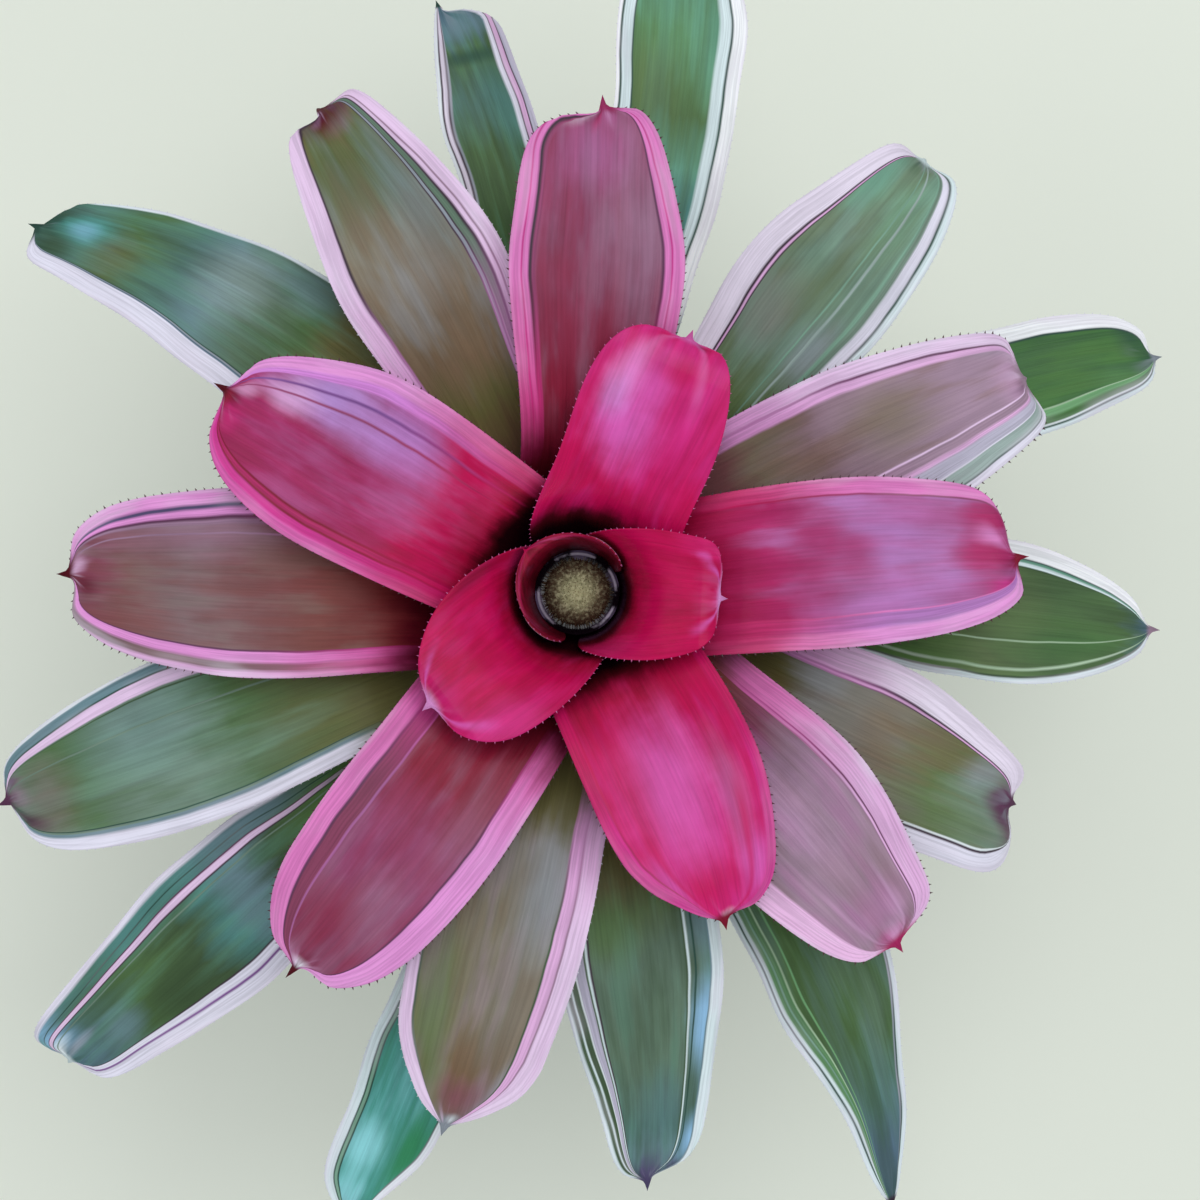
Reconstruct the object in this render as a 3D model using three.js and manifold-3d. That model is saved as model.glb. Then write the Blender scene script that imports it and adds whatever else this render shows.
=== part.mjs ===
// A neoregelia bromeliad: an open rosette of broad, spiny-edged strap leaves round a
// low flower head that sits in its own water, growing in a plain nursery pot.
// Millimetres, +Z up. The origin is the middle of the pot's underside.
import * as THREE from 'three';
import { mergeVertices } from 'three/addons/utils/BufferGeometryUtils.js';
import Module from 'manifold-3d';

const wasm = await Module();
wasm.setup();

// ---------------------------------------------------------------- driving dimensions

const CLEARANCE = 0.3; // gap between pieces that rest on each other
const ROUND_SIDES = 40;
const GOLDEN_ANGLE = Math.PI * (3 - Math.sqrt(5));

const POT = {
  height: 112,
  baseRadius: 46,
  shoulderRadius: 61, // outside, just under the band at the mouth
  mouthRadius: 65,
  bandHeight: 13,
  rounding: 1.5,
  wall: 2,
  floor: 2.5,
  drainHoles: 6,
  drainRadius: 4.5,
  drainSides: 12,
  drainRing: 30,
};

const SOIL_TOP = 100;
const SOIL_CROWN = 1.5; // how far the soil rises from the pot's wall to the stem
const STEM_FOOT = 62; // underside of the stem, in its hole in the soil
const STEM_INSET = 1.1; // from the middle of a leaf's foot in to the stem's surface

const HEAD = {
  stalkRadius: 5,
  radius: 11,
  underside: 190.8,
  edge: 194.5,
  top: 198.5,
  buds: 55,
  budRadius: 1.5,
  budLength: 3.6,
  budSides: 5,
  budLean: 0.75, // how far the outermost buds lean out, in radians
};

const WATER_TOP = 190;
const WATER_INSET = 1.1; // from the middle of the innermost leaf in to the water
const WATER_SIDES = 24;

// Side views of the innermost, the middle and the outermost leaf, as [distance from the
// axis, height above the soil]. Every leaf's midline lies between them by its rank, so
// the leaves nest like bowls and never cross.
const INNER_LINE = [
  [9.5, 62], [11.5, 76], [14.5, 93], [18, 110], [25, 122], [42, 129], [75, 133], [130, 134],
  [190, 130],
];
const MIDDLE_LINE = [
  [11, 32], [20, 46], [30, 62], [40, 78], [54, 91], [80, 101], [120, 107], [175, 106], [230, 98],
];
const OUTER_LINE = [
  [13, 3], [24, 17], [36, 31], [50, 43], [70, 53], [100, 61], [145, 64], [215, 56], [260, 46],
];
const THROAT = 3; // the control point where a leaf turns out of the funnel
const LINE_STEPS = 25; // straight pieces between two control points
const LAST_RANK = 26;

const LEAF_THICKNESS = 0.95; // along the middle
const MARGIN_THICKNESS = 0.65; // along the edges and in the sheath
const LOBE_LENGTH = 1.6; // reach of the lobes back along the blade, in half widths
const POINT_LENGTH = 4; // the hard point at a leaf's tip
const POINT_HALF_WIDTH = 1.5;
const SPINE = { length: 1, base: 1.2, lean: 0.8, firstRow: 4, shortestRow: 2.4 };
const SHEATH_ROWS = 10; // rows of the mesh from the foot to the rounding of the tip
const TIP_ROWS = [1.1, 0.7, 0.4, 0.2, 0.06, 0]; // distance from the point, in half widths
const SHEATH_ANGLE = 62; // half angle that a leaf's sheath clasps, in degrees
const SHEATH_HALF_WIDTH = 26;

// One row for each leaf, from the centre outward along the phyllotaxis. rank: place in
// that order; azimuth: direction in degrees; reach: from the axis to the tip; half: half
// the greatest width; sweep: how far the tip swings round, in degrees; neck and end:
// width near the funnel and near the tip, as shares of the greatest; left and right:
// length of the rounding on each side of the tip, in half widths; power: 1 for a
// straight taper, 2 for an ellipse; curl: how far the last of the blade turns down, in
// degrees; channel: how far the edges rise above the midline; lobe and fellow: how far
// the left and the right of the tip stand forward of its middle.
const LEAF_COLUMNS = [
  'rank', 'azimuth', 'reach', 'half', 'sweep', 'neck', 'end', 'left', 'right', 'power', 'curl', 'channel',
  'lobe', 'fellow',
];
const LEAF_ROWS = [
  [0, 141, 21.5, 9, 0, 1, 1, 1, 1, 2.2, 30, 0, 0, 0],
  [1, -2, 45, 18.5, -0.5, 1, 0.92, 0.4, 1.05, 3, 65, 0, 1.5, 0.5],
  [2, -144, 58, 25, 1.5, 1, 1, 0.8, 1.6, 2, 60, 0, 2, 0],
  [3, 66, 86, 24, 0, 0.93, 1, 1.1, 2.5, 2.6, 60, -1, 2, 3],
  [4, -60.5, 112, 26, -5.5, 0.98, 0.7, 0.35, 0.8, 1.4, 30, 1, 4, 0],
  [5, 149.5, 127, 30, 0.5, 0.89, 0.94, 0.95, 1.9, 2.1, 30, 1, 2.5, 2],
  [6, 7, 138, 25.5, -2.5, 0.97, 0.84, 0.5, 1.1, 2.2, 30, 1, 2, 5],
  [7, -124, 147, 27, -3, 0.94, 0.82, 0.7, 0.85, 1.7, 40, 1, 6, 2],
  [8, 86, 152, 27, 1, 0.75, 0.92, 0.8, 2.1, 2.4, 40, 1, 3, 4],
  [9, -45, 149, 27.5, -2.8, 0.8, 0.7, 0.35, 0.85, 2.4, 30, 2, 1, 1],
  [10, 178.5, 160, 29, -0.5, 0.88, 0.74, 0.8, 0.65, 1.9, 30, 2, 7, 3],
  [11, 26, 155, 27.5, -0.5, 0.98, 0.72, 1, 1.1, 3, 70, 2, 4, 6],
  [12, -102, 173, 26, -2, 0.92, 0.82, 0.65, 1, 1.1, 50, 2, 1, 4],
  [13, 115, 172, 26.5, 3.3, 0.75, 0.62, 1, 0.85, 2.9, 75, 2, 6, 7],
  [14, -28, 153, 26, 2.2, 0.87, 0.93, 1.6, 0.35, 1.5, 55, 2, 10, 15],
  [15, -159, 193, 26.5, -0.8, 0.8, 0.9, 1.2, 2.1, 2.2, 50, 2, 2, 1],
  [16, 52, 176, 25, -0.8, 0.7, 0.9, 2.1, 1.2, 1.7, 70, 2, 7.5, 9],
  [17, -79, 190, 25.5, -4.3, 0.95, 0.7, 0.8, 2.2, 2.2, 30, 2, 1, 2],
  [18, 137.5, 210, 23.5, 8.6, 1.1, 0.6, 0.95, 1.45, 3.2, 30, 2, 1, 0],
  [19, -1.5, 185.5, 22, -2.2, 0.6, 0.95, 1.85, 1.55, 1.6, 30, 2, 2, 2],
  [20, -137, 224, 24, -0.3, 0.55, 0.85, 2.8, 2, 2.7, 60, 2, 1, 14],
  [21, 77, 218, 18.5, 3.8, 0.65, 1.15, 1.4, 1.7, 1.9, 30, 2, 0, 0],
  [22, -53, 224, 21.5, -10, 0.9, 0.74, 3.7, 2.7, 1.35, 20, 2, 0, 0],
  [24, 29, 205, 19.5, -7, 0.8, 0.9, 0.75, 2.1, 1.8, 30, 2, 4, 1],
  [25, -108, 221, 16, -2, 0.65, 0.95, 2.2, 0.85, 1.15, 50, 2, 0, 0],
  [26, 98, 200, 15, 5.5, 0.8, 1, 2.6, 0.35, 1.15, 30, 2, 0, 2],
];
const CUP_RANKS = 3; // the innermost leaves, which close the cup round the flower head
const CUP_WRAPS = [115, 88, 85]; // half angles that they clasp, in degrees
const CUP_CURL_LENGTHS = [4, 9, 9];
const CURL_LENGTH = 14;
const INNER_RANKS = 9; // the leaves that get more columns in their mesh

const COLOURS = {
  pot: '#26282a',
  soil: '#3a2b20',
  stem: '#7d7f4d',
  water: '#1d1420',
  head: '#7b7a4e',
  heart: '#c0164f',
  wine: '#a03a6b',
  olive: '#6f7350',
  green: '#3f6b4a',
};

// ---------------------------------------------------------------------- small helpers

function radians(degrees) {
  return (degrees * Math.PI) / 180;
}

// 0 below from, 1 above to and a smooth step between them.
function smoothStep(value, from, to) {
  return THREE.MathUtils.smoothstep(value, from, to);
}

// Height at x of a smooth curve through the knots, a list of [x, y] with x rising.
function through(knots, x) {
  const last = knots.length - 1;
  const slope = (i) => {
    const before = knots[Math.max(i - 1, 0)];
    const after = knots[Math.min(i + 1, last)];
    return (after[1] - before[1]) / (after[0] - before[0]);
  };
  let i = 0;
  while (i < last - 1 && x > knots[i + 1][0]) {
    i += 1;
  }
  const [[x0, y0], [x1, y1]] = [knots[i], knots[i + 1]];
  const span = x1 - x0;
  const t = THREE.MathUtils.clamp((x - x0) / span, 0, 1);
  const bend = t * t * (3 - 2 * t);
  const rise = t * (1 - t) * ((1 - t) * slope(i) - t * slope(i + 1)) * span;
  return y0 + (y1 - y0) * bend + rise;
}

// A solid of revolution round Z from its half section, given as [radius, height] from
// the axis below, out and up, back to the axis.
function turned(section, sides) {
  const points = section.map(([radius, height]) => new THREE.Vector2(radius, height));
  return new THREE.LatheGeometry(points, sides).rotateX(Math.PI / 2);
}

// Position-only indexed geometry without doubled vertices or collapsed triangles.
function welded(geometry) {
  const bare = new THREE.BufferGeometry();
  bare.setAttribute('position', geometry.getAttribute('position'));
  bare.setIndex(geometry.getIndex());
  const merged = mergeVertices(bare, 1e-4);
  const index = Array.from(merged.getIndex().array);
  const kept = [];
  for (let i = 0; i < index.length; i += 3) {
    const [a, b, c] = index.slice(i, i + 3);
    if (a !== b && b !== c && c !== a) {
      kept.push(a, b, c);
    }
  }
  merged.setIndex(kept);
  return merged;
}

function toManifold(geometry) {
  const clean = welded(geometry);
  return new wasm.Manifold(new wasm.Mesh({
    numProp: 3,
    vertProperties: new Float32Array(clean.getAttribute('position').array),
    triVerts: new Uint32Array(clean.getIndex().array),
  }));
}

function fromManifold(solid) {
  const mesh = solid.getMesh();
  const geometry = new THREE.BufferGeometry();
  geometry.setAttribute('position', new THREE.BufferAttribute(mesh.vertProperties, 3));
  geometry.setIndex(new THREE.BufferAttribute(mesh.triVerts, 1));
  return geometry;
}

function namedMesh(name, geometry, colour, roughness) {
  const material = new THREE.MeshStandardMaterial({ color: colour, roughness, metalness: 0 });
  geometry.computeVertexNormals();
  const mesh = new THREE.Mesh(geometry, material);
  mesh.name = name;
  return mesh;
}

// ------------------------------------------------------------------ the leaves' midlines

// The midline of the leaf of one rank, as points [radius, height] with the distance
// walked along it to each of them.
function midline(rank) {
  const q = rank / LAST_RANK;
  const inner = (1 - q) * (1 - 2 * q);
  const middle = 4 * q * (1 - q);
  const outer = q * (2 * q - 1);
  const controls = INNER_LINE.map((point, i) => {
    const mix = (axis) =>
      inner * point[axis] + middle * MIDDLE_LINE[i][axis] + outer * OUTER_LINE[i][axis];
    return new THREE.Vector2(mix(0), mix(1) + SOIL_TOP);
  });
  const points = new THREE.SplineCurve(controls).getPoints((controls.length - 1) * LINE_STEPS);
  const walked = [0];
  for (let i = 1; i < points.length; i += 1) {
    walked.push(walked[i - 1] + points[i].distanceTo(points[i - 1]));
  }
  return { points, walked, foot: controls[0], throat: controls[THROAT].x };
}

// Straight-line look-up of one rising list against another.
function lookUp(keys, values, key) {
  let low = 0;
  let high = keys.length - 1;
  while (high - low > 1) {
    const middle = (low + high) >> 1;
    if (keys[middle] > key) {
      high = middle;
    } else {
      low = middle;
    }
  }
  const share = THREE.MathUtils.clamp((key - keys[low]) / (keys[high] - keys[low]), 0, 1);
  return THREE.MathUtils.lerp(values[low], values[high], share);
}

// ------------------------------------------------------------------------- one leaf

// All that a leaf's surface is worked out from.
function leafPlan(row) {
  const leaf = Object.fromEntries(LEAF_COLUMNS.map((column, i) => [column, row[i]]));
  const line = midline(leaf.rank);
  const radii = line.points.map((point) => point.x);
  const heights = line.points.map((point) => point.y);
  const inCup = leaf.rank < CUP_RANKS;
  const curlLength = inCup ? CUP_CURL_LENGTHS[leaf.rank] : CURL_LENGTH;
  const curl = radians(leaf.curl);
  const curlRadius = leaf.reach - (curlLength * Math.sin(curl)) / curl;
  const curlStart = lookUp(radii, line.walked, curlRadius);
  const tipRadius = curlRadius + curlLength;
  const footRadius = line.foot.x;
  const { throat } = line;
  let knots;
  if (leaf.rank === 0) {
    const clasp = radians(CUP_WRAPS[0]) * throat * 0.8;
    knots = [
      [footRadius, radians(CUP_WRAPS[0]) * footRadius * 0.55],
      [throat * 0.8, clasp],
      [throat, clasp],
      [tipRadius, leaf.half],
    ];
  } else if (inCup) {
    const clasp = radians(CUP_WRAPS[leaf.rank]) * throat;
    knots = [
      [footRadius, footRadius],
      [throat * 0.85, clasp * 0.85],
      [throat, (clasp + leaf.half) / 2],
      [(throat + tipRadius) / 2, leaf.half],
      [tipRadius, leaf.half * leaf.end],
    ];
  } else {
    const tipLength = Math.max(leaf.left, leaf.right) * leaf.half;
    knots = [
      [footRadius, radians(SHEATH_ANGLE) * footRadius * 0.95],
      [24, SHEATH_HALF_WIDTH],
      [Math.max(34, 1.35 * throat), leaf.half * leaf.neck],
      [footRadius + 0.62 * (tipRadius - footRadius), leaf.half],
      [tipRadius - tipLength / 2, leaf.half * leaf.end],
    ];
  }
  return {
    ...leaf,
    ...line,
    radii,
    heights,
    curl,
    curlLength,
    curlStart,
    length: curlStart + curlLength,
    widthKnots: knots,
    point: Math.min(POINT_LENGTH, leaf.half / 6),
  };
}

// Half the width on one side of the midline, at a distance along the leaf from its foot.
function halfWidth(plan, along, side) {
  const beyond = Math.max(0, along - plan.curlStart);
  const radius = lookUp(plan.walked, plan.radii, Math.min(along, plan.curlStart)) + beyond;
  const full = through(plan.widthKnots, radius);
  const toTip = plan.length - along;
  const pointHalf = (POINT_HALF_WIDTH * plan.point) / POINT_LENGTH;
  if (toTip <= plan.point) {
    return (pointHalf * toTip) / plan.point;
  }
  const rounding = (side > 0 ? plan.left : plan.right) * plan.half;
  const share = Math.min(1, (toTip - plan.point) / rounding);
  return pointHalf + (full - pointHalf) * (1 - (1 - share) ** plan.power) ** (1 / plan.power);
}

// The middle of the blade's thickness: along is the distance from the foot and across
// runs from -1 at the right edge to 1 at the left.
function leafPoint(plan, along, across) {
  const aside = across * halfWidth(plan, along, across);
  const share = aside / plan.half;
  const nearTip = 1 - smoothStep(plan.length - along, 0, LOBE_LENGTH * plan.half);
  const lobe = (across > 0 ? plan.lobe : plan.fellow) * smoothStep(Math.abs(share), 0.05, 0.5);
  const shifted = along + lobe * nearTip;
  const onLine = Math.min(shifted, plan.curlStart);
  const radius = lookUp(plan.walked, plan.radii, onLine);

  // In the funnel the blade follows a circle round the axis; further out it lies flat
  // across its midline, on the bowl that the midline sweeps out.
  const open = smoothStep(radius, 0.95 * plan.throat, 2 * plan.throat);
  const bowlRadius = THREE.MathUtils.lerp(radius, Math.hypot(radius, aside), open);
  const turn = THREE.MathUtils.lerp(aside / radius, Math.atan2(aside, radius), open);
  const level = open > 0 ? lookUp(plan.radii, plan.heights, bowlRadius)
    : lookUp(plan.walked, plan.heights, onLine);

  // The end of the blade rolls down, more in the middle than at the edges.
  const beyond = Math.max(0, shifted - plan.curlStart);
  const bend = (plan.curl * (1 - 0.6 * share * share)) / plan.curlLength;
  const x = bowlRadius * Math.cos(turn) + Math.sin(bend * beyond) / bend;
  const y = bowlRadius * Math.sin(turn);
  const z = level - (1 - Math.cos(bend * beyond)) / bend + plan.channel * share * share * open;

  const outward = Math.hypot(x, y);
  const outShare = Math.max(0, (outward - plan.throat) / (plan.reach - plan.throat));
  const heading = Math.atan2(y, x) + radians(plan.azimuth + plan.sweep * outShare ** 2);
  return new THREE.Vector3(outward * Math.cos(heading), outward * Math.sin(heading), z);
}

// Unit normal of the blade's upper face.
function leafNormal(plan, along, across) {
  const step = 0.3;
  const here = Math.min(Math.max(along, step), plan.length - plan.point * 0.5 - step);
  const inside = THREE.MathUtils.clamp(across, -0.97, 0.97);
  const lengthways = leafPoint(plan, here + step, inside).sub(leafPoint(plan, here - step, inside));
  const sideways = leafPoint(plan, here, inside + 0.03).sub(leafPoint(plan, here, inside - 0.03));
  return lengthways.cross(sideways).normalize();
}

function leafThickness(plan, along, across) {
  const radius = lookUp(plan.walked, plan.radii, Math.min(along, plan.curlStart));
  const body = smoothStep(radius, plan.throat, 2 * plan.throat) * (1 - across * across);
  return MARGIN_THICKNESS + (LEAF_THICKNESS - MARGIN_THICKNESS) * body;
}

// Distances along the leaf of the mesh's rows: close together in the funnel, where the
// midline bends, and again round the tip.
function leafRows(plan) {
  const tipRows = TIP_ROWS.map((share) => plan.length - plan.point - share * plan.half);
  const bends = plan.walked.map((_, i) => i / LINE_STEPS);
  const lastBend = lookUp(plan.walked, bends, tipRows[0]);
  const rows = [];
  for (let i = 0; i < SHEATH_ROWS; i += 1) {
    rows.push(lookUp(bends, plan.walked, (lastBend * i) / SHEATH_ROWS));
  }
  return rows.concat(tipRows);
}

// The closed blade: an upper and a lower sheet that meet at the edges, the foot and the
// point, with a forward-leaning spine in each row of both edges.
function leafGeometry(plan) {
  const rows = leafRows(plan);
  const columns = plan.rank < CUP_RANKS ? 8 : plan.rank < INNER_RANKS ? 6 : 4;
  const positions = [];
  const triangles = [];
  const addVertex = (point) => {
    positions.push(point.x, point.y, point.z);
    return positions.length / 3 - 1;
  };
  const addTriangle = (a, b, c) => triangles.push(a, b, c);
  const addQuad = (a, b, c, d) => triangles.push(a, b, c, a, c, d);

  const sheet = (face) => rows.map((along) => {
    const line = [];
    for (let column = 0; column <= columns; column += 1) {
      const across = (2 * column) / columns - 1;
      const offset = (face * leafThickness(plan, along, across)) / 2;
      const point = leafPoint(plan, along, across);
      line.push(addVertex(point.addScaledVector(leafNormal(plan, along, across), offset)));
    }
    return line;
  });
  const upper = sheet(1);
  const lower = sheet(-1);
  const tip = addVertex(leafPoint(plan, plan.length, 0));
  const lastRow = rows.length - 1;
  for (let row = 0; row < lastRow; row += 1) {
    for (let column = 0; column < columns; column += 1) {
      const [a, b] = [upper[row], upper[row + 1]];
      const [c, d] = [lower[row], lower[row + 1]];
      addQuad(a[column], b[column], b[column + 1], a[column + 1]);
      addQuad(c[column], c[column + 1], d[column + 1], d[column]);
    }
  }
  for (let column = 0; column < columns; column += 1) {
    addQuad(upper[0][column + 1], lower[0][column + 1], lower[0][column], upper[0][column]);
    addTriangle(upper[lastRow][column], tip, upper[lastRow][column + 1]);
    addTriangle(lower[lastRow][column + 1], tip, lower[lastRow][column]);
  }

  // Each edge is a strip of quads; a spine stands on the rear end of its quad.
  const vertexAt = (index) => new THREE.Vector3().fromArray(positions, index * 3);
  for (const side of [-1, 1]) {
    const column = side < 0 ? 0 : columns;
    const edgeQuad = side < 0
      ? (a, b, c, d) => addQuad(a, b, c, d)
      : (a, b, c, d) => addQuad(d, c, b, a);
    const edgeTriangle = side < 0
      ? (a, b, c) => addTriangle(a, b, c)
      : (a, b, c) => addTriangle(c, b, a);
    for (let row = 0; row < lastRow; row += 1) {
      const [top, nextTop] = [upper[row][column], upper[row + 1][column]];
      const [bottom, nextBottom] = [lower[row][column], lower[row + 1][column]];
      const rowLength = rows[row + 1] - rows[row];
      if (row < SPINE.firstRow || rowLength < SPINE.shortestRow) {
        edgeQuad(top, bottom, nextBottom, nextTop);
        continue;
      }
      const rear = vertexAt(top).add(vertexAt(bottom)).multiplyScalar(0.5);
      const ahead = vertexAt(nextTop).add(vertexAt(nextBottom)).multiplyScalar(0.5);
      const forward = ahead.clone().sub(rear).normalize();
      const up = vertexAt(top).sub(vertexAt(bottom)).normalize();
      const outward = new THREE.Vector3().crossVectors(up, forward).multiplyScalar(side).normalize();
      const front = addVertex(rear.clone().addScaledVector(forward, SPINE.base));
      const apex = addVertex(rear.clone().addScaledVector(forward, SPINE.lean)
        .addScaledVector(outward, SPINE.length));
      edgeTriangle(top, front, nextTop);
      edgeTriangle(front, bottom, nextBottom);
      edgeTriangle(front, nextBottom, nextTop);
      edgeTriangle(top, apex, front);
      edgeTriangle(apex, bottom, front);
      edgeTriangle(top, bottom, apex);
    }
    const [top, bottom] = [upper[lastRow][column], lower[lastRow][column]];
    edgeTriangle(top, bottom, tip);
  }

  const geometry = new THREE.BufferGeometry();
  geometry.setAttribute('position', new THREE.Float32BufferAttribute(positions, 3));
  geometry.setIndex(triangles);
  return geometry;
}

function leafColour(rank) {
  if (rank < 5) {
    return COLOURS.heart;
  }
  if (rank < 9) {
    return COLOURS.wine;
  }
  return rank < 14 ? COLOURS.olive : COLOURS.green;
}

// -------------------------------------------------------- the pot, soil, stem and head

function potOutside(height) {
  const share = height / (POT.height - POT.bandHeight);
  return THREE.MathUtils.lerp(POT.baseRadius, POT.shoulderRadius, share);
}

function makePot() {
  const { height, bandHeight, rounding, wall, floor } = POT;
  const band = height - bandHeight;
  const mouthInside = POT.mouthRadius - wall;
  const section = [
    [0, 0],
    [POT.baseRadius - rounding, 0],
    [POT.baseRadius, rounding],
    [POT.shoulderRadius, band],
    [POT.mouthRadius - rounding / 2, band],
    [POT.mouthRadius, band + rounding],
    [POT.mouthRadius + rounding / 2, height - rounding],
    [POT.mouthRadius, height],
    [mouthInside, height],
    [mouthInside - rounding / 2, band + rounding],
    [potOutside(band) - wall, band - rounding],
    [potOutside(floor) - wall, floor],
    [0, floor],
  ];
  let pot = toManifold(turned(section, ROUND_SIDES));
  for (let i = 0; i < POT.drainHoles; i += 1) {
    const angle = (2 * Math.PI * i) / POT.drainHoles;
    const hole = new THREE.CylinderGeometry(POT.drainRadius, POT.drainRadius, floor * 4, POT.drainSides)
      .rotateX(Math.PI / 2)
      .translate(POT.drainRing * Math.cos(angle), POT.drainRing * Math.sin(angle), 0);
    pot = pot.subtract(toManifold(hole));
  }
  return namedMesh('pot', fromManifold(pot), COLOURS.pot, 0.6);
}

function makeSoil() {
  const hole = OUTER_LINE[0][0] - STEM_INSET + CLEARANCE;
  const bottom = POT.floor + CLEARANCE;
  const wallGap = POT.wall + CLEARANCE;
  const edge = SOIL_TOP - SOIL_CROWN - POT.bandHeight + POT.rounding;
  const section = [
    [0, bottom],
    [potOutside(bottom) - wallGap, bottom],
    [potOutside(edge) - wallGap, edge],
    [POT.shoulderRadius * 0.6, SOIL_TOP - SOIL_CROWN],
    [hole + 4, SOIL_TOP],
    [hole, SOIL_TOP],
    [hole, STEM_FOOT - CLEARANCE],
    [0, STEM_FOOT - CLEARANCE],
  ];
  return namedMesh('potting_soil', welded(turned(section, ROUND_SIDES)), COLOURS.soil, 0.95);
}

function makeStem() {
  const foot = OUTER_LINE[0][0] - STEM_INSET;
  const section = [[0, STEM_FOOT], [foot - 2, STEM_FOOT], [foot, STEM_FOOT + 4], [foot, SOIL_TOP]];
  const rings = 7;
  for (let i = 0; i <= rings; i += 1) {
    const { foot: leafFoot } = midline(LAST_RANK * (1 - i / rings));
    section.push([leafFoot.x - STEM_INSET, leafFoot.y]);
  }
  const top = SOIL_TOP + INNER_LINE[0][1] + 2;
  section.push([INNER_LINE[0][0] - STEM_INSET - 1, top], [0, top]);
  return namedMesh('stem', welded(turned(section, ROUND_SIDES)), COLOURS.stem, 0.8);
}

// The water follows the innermost leaf's wall, with a plain hole for the flower stalk.
function makeWater() {
  const line = midline(0);
  const hole = HEAD.stalkRadius + CLEARANCE;
  const bottom = SOIL_TOP + INNER_LINE[0][1] + 2 + CLEARANCE;
  const heights = line.points.map((point) => point.y);
  const radii = line.points.map((point) => point.x);
  const section = [[hole, bottom]];
  const rings = 3;
  for (let i = 0; i <= rings; i += 1) {
    const height = THREE.MathUtils.lerp(bottom, WATER_TOP, i / rings);
    section.push([lookUp(heights, radii, height) - WATER_INSET, height]);
  }
  section.push([hole, WATER_TOP], [hole, bottom]);
  return namedMesh('tank_water', welded(turned(section, WATER_SIDES)), COLOURS.water, 0.1);
}

// A low dome crowded with pointed buds, on a short stalk.
function makeHead() {
  const stalkFoot = SOIL_TOP + INNER_LINE[0][1] + 2 + CLEARANCE;
  const section = [
    [0, stalkFoot],
    [HEAD.stalkRadius, stalkFoot],
    [HEAD.stalkRadius, HEAD.underside],
    [HEAD.radius - 1, HEAD.edge - 1],
    [HEAD.radius, HEAD.edge],
  ];
  const domeRings = 3;
  for (let i = 1; i <= domeRings; i += 1) {
    const angle = (Math.PI / 2) * (i / domeRings);
    const rise = (HEAD.top - HEAD.edge) * Math.sin(angle);
    section.push([i === domeRings ? 0 : HEAD.radius * Math.cos(angle), HEAD.edge + rise]);
  }
  let head = toManifold(turned(section, WATER_SIDES));
  for (let i = 0; i < HEAD.buds; i += 1) {
    const share = Math.sqrt((i + 0.5) / HEAD.buds);
    const radius = (HEAD.radius - 0.6) * share;
    const rise = (HEAD.top - HEAD.edge) * Math.sqrt(1 - share * share);
    const bud = new THREE.ConeGeometry(HEAD.budRadius, HEAD.budLength, HEAD.budSides)
      .rotateX(Math.PI / 2)
      .translate(0, 0, HEAD.budLength / 2 - 1.2)
      .rotateY(HEAD.budLean * share)
      .translate(radius, 0, HEAD.edge + rise)
      .rotateZ(i * GOLDEN_ANGLE);
    head = head.add(toManifold(bud));
  }
  return namedMesh('flower_head', fromManifold(head), COLOURS.head, 0.9);
}

// ------------------------------------------------------------------------ the whole plant

const plant = new THREE.Group();
plant.add(makePot(), makeSoil(), makeStem(), makeWater(), makeHead());
LEAF_ROWS.forEach((row, i) => {
  const name = `leaf_${String(i + 1).padStart(2, '0')}`;
  const plan = leafPlan(row);
  plant.add(namedMesh(name, leafGeometry(plan), leafColour(plan.rank), 0.5));
});

export default plant;
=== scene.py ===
"""A neoregelia bromeliad in its nursery pot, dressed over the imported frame."""
import math

import bmesh
import bpy
import numpy as np
from bpy.props import FloatProperty, FloatVectorProperty, IntProperty, PointerProperty
from mathutils import Matrix, Vector


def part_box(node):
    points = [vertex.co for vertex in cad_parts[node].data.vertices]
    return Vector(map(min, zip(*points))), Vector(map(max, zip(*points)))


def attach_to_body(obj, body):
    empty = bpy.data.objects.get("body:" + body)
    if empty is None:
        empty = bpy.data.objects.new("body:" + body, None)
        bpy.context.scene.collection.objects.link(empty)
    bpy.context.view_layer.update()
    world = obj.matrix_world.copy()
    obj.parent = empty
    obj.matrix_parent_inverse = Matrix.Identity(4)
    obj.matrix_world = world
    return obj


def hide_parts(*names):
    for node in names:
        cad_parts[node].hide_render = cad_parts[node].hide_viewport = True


bl_info = {
    "name": "Neoregelia Bromeliad",
    "version": (1, 0, 0),
    "blender": (4, 5, 0),
    "location": "View3D > Sidebar > Bromeliad",
    "description": "Builds a potted neoregelia leaf by leaf, with its pot, soil and stage",
    "category": "Object",
}

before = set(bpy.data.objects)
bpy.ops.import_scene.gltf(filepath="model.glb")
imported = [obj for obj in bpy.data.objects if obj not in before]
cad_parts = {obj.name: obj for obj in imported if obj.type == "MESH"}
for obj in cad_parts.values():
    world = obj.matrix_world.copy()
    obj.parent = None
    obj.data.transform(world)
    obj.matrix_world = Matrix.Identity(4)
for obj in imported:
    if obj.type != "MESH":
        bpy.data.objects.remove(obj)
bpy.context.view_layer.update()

MM = 0.001
GOLDEN_ANGLE = math.pi * (3 - math.sqrt(5))

# ------------------------------------------------------------------ the rosette's form
# All sizes in this block are millimetres.

SOIL_TOP = 100.0

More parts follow.
